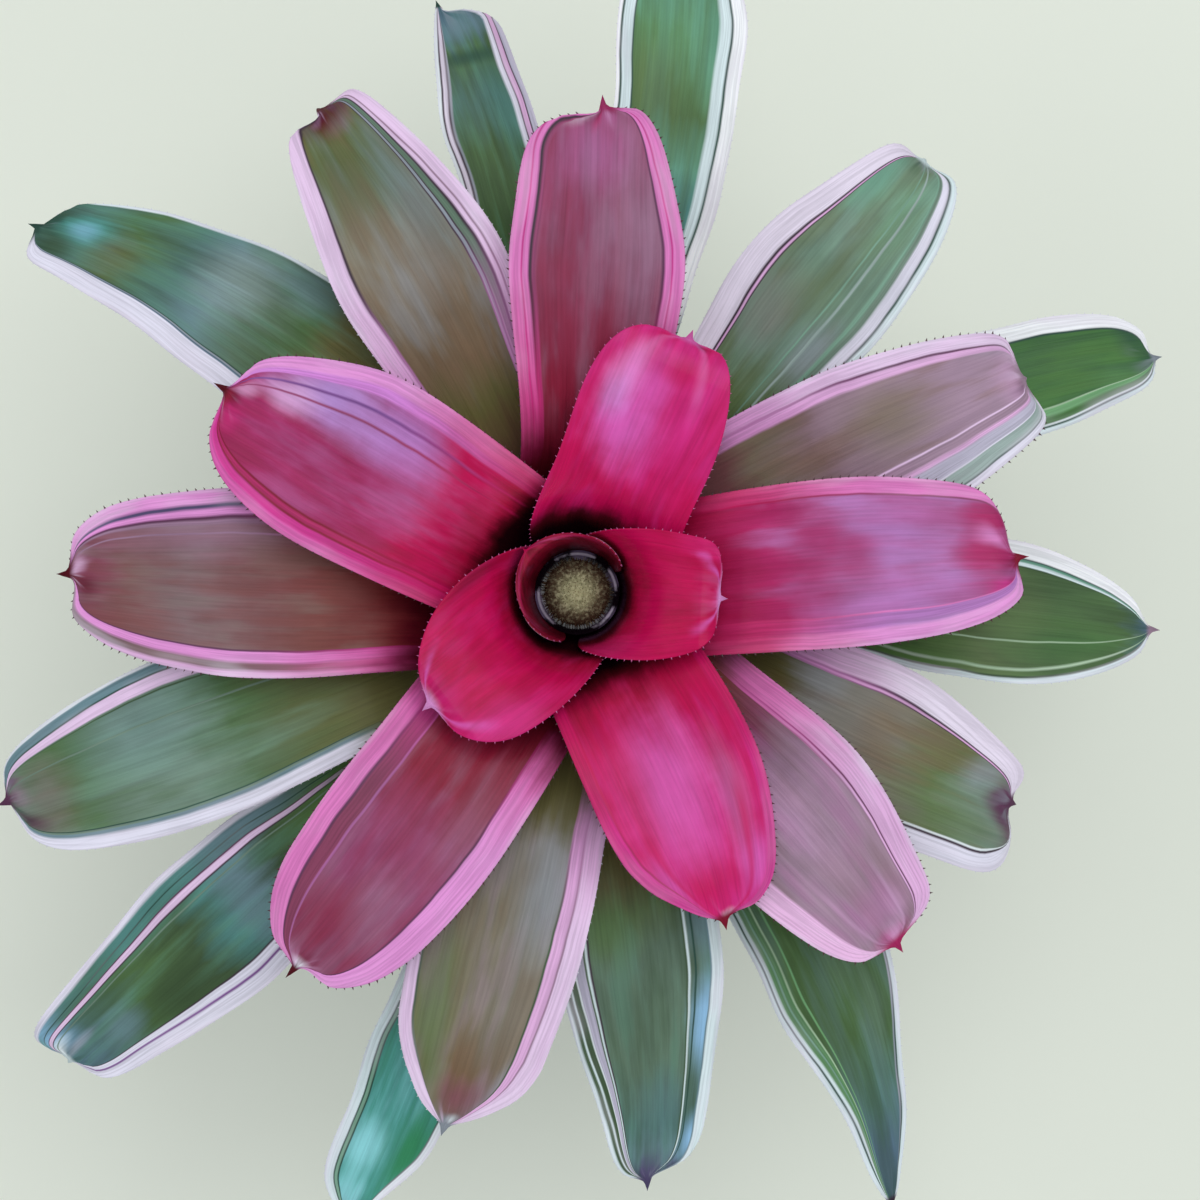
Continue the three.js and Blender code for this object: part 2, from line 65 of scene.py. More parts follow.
# Midlines of an innermost, a middle and an outermost leaf, as distance from the axis and
# height above the soil. Each leaf's own midline is a blend of the three.
INNER_LINE = (
    (9.5, 62), (11.5, 76), (14.5, 93), (18, 110), (25, 122), (42, 129), (75, 133), (130, 134),
    (190, 130),
)
MIDDLE_LINE = (
    (11, 32), (20, 46), (30, 62), (40, 78), (54, 91), (80, 101), (120, 107), (175, 106),
    (230, 98),
)
OUTER_LINE = (
    (13, 3), (24, 17), (36, 31), (50, 43), (70, 53), (100, 61), (145, 64), (215, 56),
    (260, 46),
)

THROAT = 3  # the control point where a leaf turns out of the funnel
LINE_STEPS = 25  # straight pieces between two control points
LAST_RANK = 26  # the outermost place along the phyllotaxis
SHEATH_ANGLE = 62  # half angle that a leaf's sheath clasps, in degrees
CUP_WRAPS = (115, 88, 85)  # the same for the innermost leaves, which close the cup
SHEATH_HALF_WIDTH = 26
SHEATH_AT = 24  # distance from the axis at which the sheath has that half width
NECK_AT = 34  # the same for a blade's neck, unless its throat is wide
NECK_BEYOND_THROAT = 1.35  # the neck's distance in that case, as a share of the throat's
WIDEST_AT = 0.62  # place of the greatest width, as a share of the way from foot to tip
CURL_LENGTH = 14  # the last of a blade, which turns down
CUP_CURL_LENGTHS = (4, 9, 9)  # the same for the innermost leaves
CURL_EASING = 0.6  # how much less it turns down at the edges than along the middle
LOBE_LENGTH = 1.6  # reach of the lobes back along the blade, in half widths
POINT_LENGTH = 4.5  # the hard point at a leaf's tip
POINT_HALF_WIDTH = 1.6
TUCKED_POINTS = (11, 13, 14, 16, 20)  # ranks whose hard point follows the curl of the blade
EVENING = (-1, -0.5, 0, 0.5, 1)  # places along a stretch over which the width is averaged
EVENING_SHARE = 0.3  # half that stretch, as a share of the distance to the tip
EVENING_REACH = 25  # the distance to the tip from which the stretch grows no longer
WAVE = 0.3  # how far the edges of the outermost leaves sway
WAVE_FROM, FULL_WAVE_FROM = 60, 100  # places along the blade where the sway sets in
WAVE_LENGTHS = (31.0, 47.0, 73.0)  # of the three swells that the sway is made of
WAVE_PHASES = (4.1, 1.7)  # for the right edge and the left, in radians a rank and millimetre
STEM_INSET = 1.1  # from the middle of a leaf's foot in to the stem's surface
STEM_RING = 0.25  # depth of the grooves that shed leaves left
STEM_RING_PITCH = 4.5  # height from one groove to the next

# The finished blades.
END_GAP = 0.15  # from the last row of points to the end of the hard point
ROW_CROWDING = 1.35  # more than 1: rows lie closer together towards the tip
COLUMN_CROWDING = 0.94  # nearer to 1: columns lie closer together towards the edges
SLOPE_STEP = 0.25  # along the blade, to either side of a point, for its slope there
SLOPE_SHARE = 0.02  # the same across it, as a share of half its width
RIM_ROUNDING = 0.8  # how far the rims stand out, in half thicknesses
SPINES_FROM = 0.9  # radius where the spines begin, as a share of the throat's

# Flower head, water, soil and pot.
STALK = 5  # radius of the head's stalk
DOME_RADIUS = 10.2
DOME_EDGE = 194.5  # height of the dome's edge
BUD_ROOM = 3  # from the top of the dome to that of the whole head
WATER_GAP = 0.55  # from the middle of the cup's wall to the water
WATER_HOLE = 5.15  # radius of the hole in it, round the stalk
MENISCUS = 0.9  # how high the water is drawn up
MENISCUS_WIDTH = 0.7  # distance from leaf or stalk at which about a third of that is left
STALK_MENISCUS = 0.6  # how much of that the stalk draws up
SOIL_FOOT = 43.6  # radius of the mix on the pot's floor
SOIL_EDGE = 56.5  # radius up to which it is heaped
SOIL_HOLE = 12.2  # radius of the hole that the stem stands in
SOIL_HOLE_FLOOR = 61.7  # height of its floor
LITTER_FROM, LITTER_TO = 19, 54  # radii between which chips and grains lie
POT_BAND = 13  # height of the band round the mouth
DRAIN_HOLES = 6
DRAIN_RING = 30  # from the pot's axis to the middle of a drain hole
DRAIN_RADIUS = 4.5
BUD_SEED, LITTER_SEED = 5, 11

# The blade's own maps.
EDGE_REACH = 30.0  # distance from an edge that the margins' map covers
GATHERING = 28.0  # length of the tip in which the margins' bands run together
NARROWEST = 0.2  # width of the bands at the tip, as a share of that along the blade
PARALLEL_FROM, TO_TIP_FROM = 5, 12  # where lines turn from following the edge to the tip
OUTLINE_STEPS = 900  # points of the outline that distances are measured to

# One row for each leaf, from the centre outward. rank: place along the phyllotaxis;
# azimuth: direction in degrees; reach: from the axis to the tip; half: half the
# greatest width; sweep: how far the tip swings round; neck and end: width near the
# funnel and near the tip, as shares of the greatest; left and right: length of the
# rounding on each side of the tip, in half widths; power: 1 for a straight taper, 2 for
# an ellipse; curl: how far the last of the blade turns down; channel: rise of the edges;
# lobe and fellow: how far the left and the right of the tip stand forward of its middle.
LEAF_COLUMNS = (
    "rank", "azimuth", "reach", "half", "sweep", "neck", "end", "left", "right", "power",
    "curl", "channel", "lobe", "fellow",
)
LEAF_ROWS = (
    (0, 141, 21.5, 9, 0, 1, 1, 1, 1, 2.2, 30, 0, 0, 0),
    (1, -2, 45, 18.5, -0.5, 1, 0.92, 0.4, 1.05, 3, 65, 0, 1.5, 0.5),
    (2, -144, 58, 25, 1.5, 1, 1, 0.8, 1.6, 2, 60, 0, 2, 0),
    (3, 66, 86, 24, 0, 0.93, 1, 1.1, 2.5, 2.6, 60, -1, 2, 3),
    (4, -60.5, 112, 26, -5.5, 0.98, 0.7, 0.35, 0.8, 1.4, 30, 1, 4, 0),
    (5, 149.5, 127, 30, 0.5, 0.89, 0.94, 0.95, 1.9, 2.1, 30, 1, 2.5, 2),
    (6, 7, 138, 25.5, -2.5, 0.97, 0.84, 0.5, 1.1, 2.2, 30, 1, 2, 5),
    (7, -124, 147, 27, -3, 0.94, 0.82, 0.7, 0.85, 1.7, 40, 1, 6, 2),
    (8, 86, 152, 27, 1, 0.75, 0.92, 0.8, 2.1, 2.4, 40, 1, 3, 4),
    (9, -45, 149, 27.5, -2.8, 0.8, 0.7, 0.35, 0.85, 2.4, 30, 2, 1, 1),
    (10, 178.5, 160, 29, -0.5, 0.88, 0.74, 0.8, 0.65, 1.9, 30, 2, 7, 3),
    (11, 26, 155, 27.5, -0.5, 0.98, 0.72, 1, 1.1, 3, 70, 2, 4, 6),
    (12, -102, 173, 26, -2, 0.92, 0.82, 0.65, 1, 1.1, 50, 2, 1, 4),
    (13, 115, 172, 26.5, 3.3, 0.75, 0.62, 1, 0.85, 2.9, 75, 2, 6, 7),
    (14, -28, 153, 26, 2.2, 0.87, 0.93, 1.6, 0.35, 1.5, 55, 2, 10, 15),
    (15, -159, 193, 26.5, -0.8, 0.8, 0.9, 1.2, 2.1, 2.2, 50, 2, 2, 1),
    (16, 52, 176, 25, -0.8, 0.7, 0.9, 2.1, 1.2, 1.7, 70, 2, 7.5, 9),
    (17, -79, 190, 25.5, -4.3, 0.95, 0.7, 0.8, 2.2, 2.2, 30, 2, 1, 2),
    (18, 137.5, 210, 23.5, 8.6, 1.1, 0.6, 0.95, 1.45, 3.2, 30, 2, 1, 0),
    (19, -1.5, 185.5, 22, -2.2, 0.6, 0.95, 1.85, 1.55, 1.6, 30, 2, 2, 2),
    (20, -137, 224, 24, -0.3, 0.55, 0.85, 2.8, 2, 2.7, 60, 2, 1, 14),
    (21, 77, 218, 18.5, 3.8, 0.65, 1.15, 1.4, 1.7, 1.9, 30, 2, 0, 0),
    (22, -53, 224, 21.5, -10, 0.9, 0.74, 3.7, 2.7, 1.35, 20, 2, 0, 0),
    (24, 29, 205, 19.5, -7, 0.8, 0.9, 0.75, 2.1, 1.8, 30, 2, 4, 1),
    (25, -108, 221, 16, -2, 0.65, 0.95, 2.2, 0.85, 1.15, 50, 2, 0, 0),
    (26, 98, 200, 15, 5.5, 0.8, 1, 2.6, 0.35, 1.15, 30, 2, 0, 2),
)

# ------------------------------------------------------------------ the rosette's colours

# Tones given as sRGB.
# Some tones are painted light: the near-black of the funnel is painted shade, tank is the painted
# shade of the cup seen through its water, and reflection, gleam and sky are painted reflections and
# glints.
PALETTE = {
    "funnel_shade": "#220309", "garnet": "#520818", "maroon": "#6a2224", "oxblood": "#801a34",
    "cardinal": "#a00b38", "brick": "#80122e", "crimson": "#b3084b", "ruby": "#b80d50",
    "cerise": "#c22872", "magenta": "#c43088",
    "rose": "#cb5aa2", "orchid": "#ca5cb0", "pink": "#d074b4", "blossom": "#d68cca",
    "lilac": "#d4a6d0", "thistle": "#d9bddc", "pearl": "#d5d3e2", "white": "#dde6ea",
    "frost": "#cddde0", "claret": "#a6265e", "wine": "#98285c", "plum": "#8c4268",
    "mulberry": "#7e3d58", "heather": "#a8649a", "violet": "#ab72b4", "iris": "#a884c4",
    "grape": "#764a88", "indigo": "#4e4668", "aubergine": "#5a3450", "ink": "#3c2e3a",
    "mauve": "#8f7088", "ash": "#9a8094", "taupe": "#7a6266", "umber": "#745a44",
    "russet": "#74403c", "fawn": "#786c5c", "stone": "#7f7c74", "mist": "#8a929c",
    "olive": "#66623a", "moss": "#5a6438", "fern": "#5c7048", "grass": "#527440",
    "leaf": "#42703a", "pine": "#40563c", "bottle": "#2c4a40", "sage": "#6c8274",
    "celadon": "#a0bc9c", "jade": "#5f947e", "teal": "#4f807c", "lagoon": "#4f9890",
    "sea": "#8cd0d6", "sky": "#86b0d0", "slate": "#647f88", "steel": "#50687a",
    "cocoa": "#754c4e", "loam": "#6c5a46", "sedge": "#777262", "opal": "#d9cfe0",
    "ivy": "#4b6840", "yew": "#34472e", "clover": "#588358", "emerald": "#35825a",
    "mint": "#70a472", "gum": "#769c88", "lichen": "#5f7666", "spruce": "#4f7068",
    "wisteria": "#c87ecb", "petal": "#dfb2d9", "haze": "#b0acbf", "snow": "#eceff2",
    "verdigris": "#93a5a1",
    "husk": "#4a3a2a", "sepia": "#32180f", "straw": "#c4c09c",
    "tank": "#140a12", "reflection": "#6a5a78", "gleam": "#cbc0d6",
    "rush": "#4a4a2c", "reed": "#8b8a55", "peat": "#1e150f", "compost": "#4a3526",
    "bark": "#33211a", "cork": "#7a5238", "pumice": "#b9b6ac", "chalk": "#e6e3da",
}

# What each leaf shows. ground: colours of the blade between its margins, each with its
# place along the leaf; the darkest, in the funnel, are painted shade, and some of the later
# tones hold painted sheen; left and right: the bands of each margin from the edge inward,
# as width in millimetres and colour, "" where the ground shows; flush: colour that the
# margins take on towards the funnel, and where along the leaf it ends; patches: soft
# clouds, partly the leaf's own tones and partly painted highlights, reflections, glints and
# shade, each as place across (0 the right edge, 1 the left), place along, half breadth,
# half length, strength and colour; lip: a soft line that follows the outline, on most
# leaves a painted highlight along a ridge, as its distance and half width in millimetres,
# the place along the leaf where it starts, its strength and colour; tip: colour of the
# last part, and its length as a share; bite: how far each side of the tip stops short of
# the hard point; mottle: darker and lighter tones that cloud the ground; point: colour of
# the hard point.
LEAF_LOOKS = {
    0: {
        "ground": ((0.3, "funnel_shade"), (0.6, "garnet"), (0.95, "brick")),
        "lip": (3, 1.5, 0.8, 0.3, "cerise"),
        "mottle": ("funnel_shade", "cardinal"), "point": "crimson",
    },
    1: {
        "ground": ((0.33, "funnel_shade"), (0.43, "garnet"), (0.53, "cardinal"), (0.64, "crimson")),
        "patches": (
            (0.45, 0.975, 0.3, 0.03, 0.6, "rose"), (0.06, 0.6, 0.14, 0.12, 0.5, "cerise"),
            (0.95, 0.92, 0.12, 0.1, 0.5, "cerise"), (0.35, 0.33, 0.5, 0.04, 0.8, "aubergine")),
        "lip": (7, 3, 0.84, 0.75, "orchid"),
        "mottle": ("cardinal", "ruby"), "point": "blossom",
    },
    2: {
        "ground": ((0.37, "funnel_shade"), (0.46, "garnet"), (0.54, "cardinal"), (0.63, "crimson")),
        "patches": (
            (0.92, 0.8, 0.16, 0.12, 0.5, "magenta"), (0.5, 0.92, 0.5, 0.05, 0.3, "magenta"),
            (0.04, 0.45, 0.08, 0.08, 0.7, "cerise"), (0.03, 0.66, 0.05, 0.08, 0.6, "garnet"),
            # The last patch is a painted glint on the water in the axil.
            (0.42, 0.95, 0.25, 0.02, 0.5, "lilac"), (0.36, 0.37, 0.22, 0.005, 0.8, "opal")),
        "lip": (6, 4, 0.8, 0.6, "orchid"),
        "mottle": ("cardinal", "cerise"), "point": "blossom",
    },
    3: {
        "ground": (
            (0.34, "funnel_shade"), (0.42, "garnet"), (0.48, "crimson"), (0.6, "ruby"), (0.9, "cerise")),
        "patches": (
            (0.64, 0.7, 0.22, 0.1, 0.8, "orchid"), (0.78, 0.83, 0.12, 0.07, 0.55, "blossom"),
            (0.6, 0.83, 0.16, 0.08, 0.5, "orchid"), (0.3, 0.75, 0.2, 0.18, 0.35, "magenta"),
            (0.45, 0.875, 0.2, 0.03, 0.6, "crimson"), (0.8, 0.76, 0.1, 0.05, 0.4, "iris"),
            (0.2, 0.965, 0.12, 0.02, 0.7, "garnet")),
        "lip": (12, 4, 0.76, 0.2, "blossom"), "bite": (0.5, 0),
        "mottle": ("crimson", "magenta"), "point": "rose",
    },
    4: {
        "ground": (
            (0.35, "funnel_shade"), (0.4, "garnet"), (0.46, "cardinal"), (0.54, "crimson"),
            (0.9, "cerise")),
        "left": ((3, "magenta"),), "right": ((3.6, "magenta"), (0.6, "claret")),
        "flush": ("crimson", 0.7),
        "patches": (
            (0.45, 0.68, 0.24, 0.16, 0.65, "orchid"), (0.78, 0.74, 0.08, 0.14, 0.5, "heather"),
            (0.6, 0.58, 0.1, 0.1, 0.35, "rose"), (0.42, 0.9, 0.28, 0.035, 0.7, "ruby"),
            (0.22, 0.58, 0.1, 0.15, 0.35, "ruby"), (0.85, 0.88, 0.12, 0.05, 0.7, "orchid"),
            (0.62, 0.975, 0.2, 0.016, 0.9, "opal"), (0.15, 0.86, 0.08, 0.06, 0.5, "orchid"),
            (0.35, 0.98, 0.2, 0.015, 0.7, "claret")),
        "lip": (10, 3, 0.7, 0.6, "ruby"),
        "mottle": ("crimson", "magenta"), "point": "brick",
    },
    5: {
        "ground": (
            (0.33, "funnel_shade"), (0.37, "garnet"), (0.41, "cardinal"), (0.46, "crimson"),
            (0.53, "crimson"), (0.58, "claret"), (0.66, "wine")),
        "left": (
            (3, "rose"), (2.4, "magenta"), (0.8, "oxblood"), (1.6, "claret"), (0.8, "oxblood")),
        "right": (
            (4.6, "blossom"), (3, "wisteria"), (4.4, ""), (1.1, "grape"), (3.8, ""),
            (0.9, "plum")),
        "flush": ("ruby", 0.54),
        "patches": (
            (0.25, 0.63, 0.2, 0.08, 0.9, "violet"), (0.22, 0.8, 0.16, 0.09, 0.9, "iris"),
            (0.5, 0.57, 0.2, 0.07, 0.3, "heather"), (0.55, 0.96, 0.16, 0.02, 0.8, "garnet"),
            (0.3, 0.85, 0.12, 0.05, 0.6, "lilac"), (0.3, 0.72, 0.16, 0.08, 0.5, "iris"),
            (0.7, 0.94, 0.1, 0.03, 0.5, "cerise"),
            (0.36, 0.935, 0.09, 0.025, 0.5, "lilac")),
        "tip": ("brick", 0.03), "bite": (1.5, 2),
        "mottle": ("oxblood", "heather"), "point": "garnet",
    },
    6: {
        "ground": (
            (0.38, "cardinal"), (0.54, "claret"), (0.68, "heather"), (0.86, "heather"),
            (0.93, "wine")),
        "left": ((4.5, "pink"), (0.6, "plum")),
        "right": ((4.4, "blossom"), (4.4, "violet"), (0.6, "pink")),
        "flush": ("ruby", 0.61),
        "patches": (
            (0.66, 0.75, 0.2, 0.1, 0.4, "violet"), (0.64, 0.63, 0.14, 0.05, 0.8, "wine"),
            (0.54, 0.69, 0.14, 0.04, 0.7, "wine"),
            (0.36, 0.6, 0.2, 0.06, 0.6, "wine"), (0.3, 0.69, 0.14, 0.05, 0.4, "plum"),
            (0.55, 0.92, 0.3, 0.04, 0.7, "claret"), (0.22, 0.75, 0.15, 0.14, 0.6, "violet"),
            (0.68, 0.93, 0.08, 0.03, 0.6, "blossom"), (0.16, 0.93, 0.1, 0.03, 0.7, "magenta")),
        "bite": (3, 0),
        "mottle": ("wine", "iris"), "point": "brick",
    },
    7: {
        "ground": (
            (0.4, "garnet"), (0.5, "brick"), (0.57, "oxblood"), (0.66, "plum"), (0.78, "plum"),
            (0.9, "mulberry")),
        "left": ((8.3, "blossom"), (0.7, "aubergine")),
        "right": (
            (6, "pink"), (0.9, "aubergine"), (4.6, "mulberry"), (0.7, "heather")),
        "flush": ("magenta", 0.5),
        "patches": (
            (0.76, 0.6, 0.14, 0.1, 0.3, "mauve"), (0.6, 0.8, 0.2, 0.07, 0.25, "ash"),
            (0.5, 0.968, 0.3, 0.014, 1, "opal"), (0.6, 0.975, 0.12, 0.012, 1, "white"),
            (0.35, 0.86, 0.2, 0.06, 0.5, "oxblood"), (0.2, 0.975, 0.1, 0.02, 0.8, "garnet")),
        "bite": (2.7, 1.5),
        "mottle": ("oxblood", "mauve"), "point": "garnet",
    },
    8: {
        "ground": ((0.36, "garnet"), (0.5, "oxblood"), (0.66, "mulberry"), (0.94, "plum")),
        "left": ((3.4, "pink"), (0.5, "magenta"), (1.8, "pink"), (1.1, "ink"), (1.2, "plum")),
        "right": ((3.4, "pink"), (0.5, "magenta"), (2, "pink"), (1, "aubergine")),
        "flush": ("cerise", 0.56),
        "patches": (
            (0.26, 0.76, 0.22, 0.13, 0.55, "mauve"), (0.7, 0.66, 0.2, 0.1, 0.3, "oxblood"),
            (0.55, 0.9, 0.25, 0.06, 0.45, "heather"), (0.85, 0.95, 0.12, 0.02, 0.3, "pearl"),
            (0.4, 0.96, 0.1, 0.02, 0.2, "blossom"), (0.58, 0.96, 0.06, 0.025, 0.6, "claret")),
        "bite": (3.5, 0),
        "mottle": ("oxblood", "mauve"), "point": "wine",
    },
    9: {
        "ground": (
            (0.44, "russet"), (0.52, "mulberry"), (0.6, "mauve"), (0.72, "ash"), (0.9, "ash")),
        "left": ((7.3, "lilac"), (0.6, "aubergine"), (0.8, "lilac"), (0.5, "mauve")),
        "right": ((8, "petal"),),
        "flush": ("rose", 0.6),
        "patches": (
            (0.52, 0.91, 0.25, 0.045, 0.4, "heather"), (0.5, 0.7, 0.12, 0.14, 0.35, "lilac"),
            (0.6, 0.84, 0.2, 0.06, 0.3, "taupe"), (0.45, 0.965, 0.3, 0.016, 0.5, "rose"),
            (0.7, 0.93, 0.08, 0.03, 0.2, "lilac")),
        "lip": (17, 1.6, 0.8, 0.25, "lilac"),
        "mottle": ("taupe", "heather"), "point": "claret",
    },
    10: {
        "ground": (
            (0.4, "garnet"), (0.46, "maroon"), (0.56, "russet"), (0.64, "cocoa"), (0.78, "taupe"),
            (0.88, "cocoa"), (0.96, "mulberry")),
        "left": ((1.8, "lilac"), (2.5, "taupe"), (3.3, "blossom"), (0.6, "aubergine")),
        "right": (
            (4, "blossom"), (1.5, "indigo"), (2.4, "blossom"), (1.3, "aubergine"), (1.6, "mauve"),
            (2.6, ""), (0.6, "mauve")),
        "flush": ("magenta", 0.56),
        "patches": (
            (0.96, 0.84, 0.07, 0.1, 0.8, "sage"), (0.35, 0.6, 0.3, 0.12, 0.4, "maroon"),
            (0.22, 0.76, 0.14, 0.16, 0.5, "mauve"), (0.36, 0.965, 0.1, 0.018, 0.5, "lilac"),
            (0.64, 0.95, 0.14, 0.025, 0.7, "garnet")),
        "bite": (2.5, 0),
        "mottle": ("russet", "stone"), "point": "garnet",
    },
    11: {
        "ground": (
            (0.44, "cocoa"), (0.5, "fawn"), (0.6, "taupe"), (0.72, "ash"), (0.9, "ash")),
        "left": ((4.1, "thistle"), (0.8, "aubergine"), (3, "lilac")),
        "right": (
            (2.2, "pearl"), (0.5, "bottle"), (5, "verdigris"), (0.6, "pearl"), (5.4, "haze"),
            (1.6, "lilac"), (3.4, "ash"), (0.7, "thistle")),
        "flush": ("blossom", 0.6),
        "patches": (
            (0.6, 0.74, 0.25, 0.08, 0.8, "fawn"), (0.95, 0.93, 0.12, 0.06, 0.6, "mist"),
            (0.5, 0.95, 0.3, 0.03, 0.4, "lilac"), (0.3, 0.97, 0.15, 0.02, 0.6, "mauve")),
        "mottle": ("umber", "ash"), "point": "ash",
    },
    12: {
        "ground": (
            (0.38, "olive"), (0.46, "olive"), (0.53, "stone"), (0.62, "sedge"), (0.78, "sedge"),
            (0.88, "loam"), (0.95, "taupe")),
        "left": ((5.4, "thistle"), (0.6, "mauve"), (3.5, "lilac"), (0.7, "pine")),
        "right": ((3.6, "thistle"), (0.7, "pine")),
        "flush": ("blossom", 0.52),
        "patches": (
            (0.72, 0.6, 0.16, 0.1, 0.6, "mist"), (0.72, 0.78, 0.2, 0.12, 0.4, "stone"),
            (0.2, 0.82, 0.14, 0.14, 0.8, "fern"), (0.5, 0.93, 0.24, 0.03, 0.5, "mulberry"),
            (0.55, 0.972, 0.5, 0.014, 1, "mist"), (0.62, 0.968, 0.14, 0.012, 0.6, "white"),
            (0.85, 0.9, 0.1, 0.05, 0.5, "mist")),
        "mottle": ("umber", "ash"), "point": "mist",
    },
    13: {
        "ground": (
            (0.36, "umber"), (0.43, "olive"), (0.52, "loam"), (0.66, "fawn"), (0.78, "sedge"),
            (0.88, "moss")),
        "left": ((6.2, "thistle"), (1, "ink")),
        "right": (
            (3.6, "thistle"), (0.6, "mauve"), (1.5, "thistle"), (1, "ink"), (2.3, "lichen"),
            (0.5, "ink"), (1, "mist"), (0.5, "ink")),
        "flush": ("blossom", 0.58),
        "patches": (
            (0.3, 0.78, 0.16, 0.12, 0.45, "slate"), (0.5, 0.66, 0.15, 0.08, 0.15, "mist"),
            (0.6, 0.85, 0.3, 0.08, 0.4, "pine"), (0.4, 0.94, 0.2, 0.02, 0.4, "ash"),
            (0.62, 0.962, 0.5, 0.035, 1, "garnet"), (0.75, 0.955, 0.1, 0.015, 0.6, "mauve")),
        "tip": ("aubergine", 0.035), "bite": (4.8, 0.3),
        "mottle": ("umber", "mist"), "point": "garnet",
    },
    14: {
        "ground": (
            (0.46, "olive"), (0.52, "olive"), (0.58, "stone"), (0.66, "stone"), (0.74, "sedge"),
            (0.84, "fern"), (0.92, "sage")),
        "left": ((8.3, "opal"), (0.9, "ink"), (0.8, "lilac"), (0.4, "ink")),
        "right": ((6.1, "pearl"), (0.9, "ink"), (0.7, "white")),
        "flush": ("blossom", 0.62),
        "patches": (
            (0.75, 0.57, 0.2, 0.05, 0.4, "mist"), (0.6, 0.7, 0.2, 0.04, 0.3, "umber"),
            (0.28, 0.85, 0.2, 0.06, 0.3, "grass"), (0.48, 0.96, 0.4, 0.03, 1, "aubergine"),
            (0.7, 0.9, 0.16, 0.03, 0.5, "mist")),
        "tip": ("aubergine", 0.04),
        "mottle": ("umber", "stone"), "point": "aubergine",
    },
    15: {
        "ground": (
            (0.38, "olive"), (0.54, "moss"), (0.62, "ivy"), (0.7, "sage"), (0.79, "sage"),
            (0.88, "ivy"), (0.95, "lichen")),
        "left": ((4.2, "pearl"), (1.3, "slate"), (0.7, "sage"), (0.4, "bottle")),
        "right": (
            (0.6, "white"), (2.6, "slate"), (0.5, "bottle"), (4, "thistle"), (0.7, "sage"),
            (0.5, "pine"), (7.8, ""), (0.6, "sage")),
        "patches": (
            (0.3, 0.76, 0.3, 0.1, 0.35, "slate"), (0.78, 0.95, 0.09, 0.025, 1, "ink"),
            (0.7, 0.62, 0.2, 0.08, 0.3, "sage"), (0.6, 0.92, 0.35, 0.045, 0.5, "taupe"),
            (0.45, 0.965, 0.2, 0.02, 0.6, "mauve")),
        "tip": ("aubergine", 0.03), "bite": (1.5, 0),
        "mottle": ("ivy", "gum"), "point": "aubergine",
    },
    16: {
        "ground": (
            (0.5, "fern"), (0.58, "sage"), (0.75, "lichen"), (0.83, "sage"), (0.9, "gum"),
            (0.96, "sage")),
        "left": ((7.6, "opal"), (1, "ink"), (0.8, "lilac"), (0.5, "ink")),
        "right": (
            (2, "frost"), (0.8, "bottle"), (3.4, "pearl"), (2.2, "sage"), (1.3, "gum"),
            (5.6, ""), (0.8, "verdigris"), (2.4, ""), (0.6, "gum")),
        "patches": (
            (0.65, 0.64, 0.16, 0.07, 0.4, "taupe"), (0.25, 0.62, 0.13, 0.06, 0.6, "mist"),
            (0.34, 0.86, 0.14, 0.08, 0.4, "clover"), (0.5, 0.7, 0.2, 0.05, 0.3, "fern"),
            (0.75, 0.9, 0.15, 0.06, 0.6, "jade"), (0.4, 0.975, 0.3, 0.014, 0.7, "mist")),
        "tip": ("slate", 0.02),
        "mottle": ("moss", "gum"), "point": "frost",
    },
    17: {
        "ground": (
            (0.52, "olive"), (0.58, "fern"), (0.64, "lichen"), (0.8, "lichen"), (0.9, "spruce"),
            (0.95, "slate")),
        "left": (
            (3.4, "frost"), (0.5, "slate"), (4.4, ""), (0.7, "bottle"), (1.4, ""),
            (0.8, "frost"), (0.6, "pine")),
        "right": (
            (1, "frost"), (1.2, "pine"), (0.6, "frost"), (1.8, "pine"), (0.5, "white"),
            (2.8, "haze"), (0.6, "pine"), (0.8, "frost"), (0.7, "ink")),
        "patches": (
            (0.9, 0.76, 0.1, 0.07, 1, "sky"), (0.9, 0.92, 0.1, 0.03, 1, "sky"),
            (0.9, 0.6, 0.1, 0.06, 0.8, "slate"), (0.85, 0.85, 0.06, 0.05, 0.7, "pine"),
            (0.45, 0.75, 0.25, 0.12, 0.3, "pine"), (0.6, 0.87, 0.25, 0.05, 0.3, "steel"),
            (0.3, 0.6, 0.2, 0.05, 0.6, "grass")),
        "tip": ("indigo", 0.04), "bite": (2, 0),
        "mottle": ("yew", "jade"), "point": "indigo",
    },
    18: {
        "ground": (
            (0.55, "olive"), (0.6, "ivy"), (0.66, "lichen"), (0.73, "slate"), (0.79, "spruce"),
            (0.86, "ivy"), (0.92, "spruce"), (0.98, "bottle")),
        "left": ((6.6, "pearl"), (0.6, "steel"), (0.5, "mist"), (0.4, "bottle")),
        "right": ((0.7, "frost"),),
        "patches": (
            (0.32, 0.71, 0.3, 0.05, 0.45, "verdigris"), (0.38, 0.925, 0.2, 0.035, 0.9, "lagoon"),
            (0.4, 0.925, 0.12, 0.02, 0.5, "sky"),
            (0.75, 0.64, 0.2, 0.06, 0.5, "pine"), (0.1, 0.63, 0.16, 0.06, 0.6, "slate"),
            (0.6, 0.87, 0.25, 0.035, 0.3, "umber"), (0.7, 0.95, 0.2, 0.03, 0.7, "yew")),
        "tip": ("bottle", 0.025), "bite": (0, 2.5),
        "mottle": ("yew", "jade"), "point": "bottle",
    },
    19: {
        "ground": (
            (0.6, "grass"), (0.72, "fern"), (0.83, "ivy"), (0.93, "ivy"), (0.98, "steel")),
        "left": ((4.8, "snow"), (0.5, "bottle"), (0.8, "jade"), (1.2, "frost"), (0.5, "pine")),
        "right": (
            (1.5, "frost"), (0.7, "pine"), (1.6, ""), (0.9, "celadon"), (8, ""),
            (0.5, "celadon")),
        "patches": (
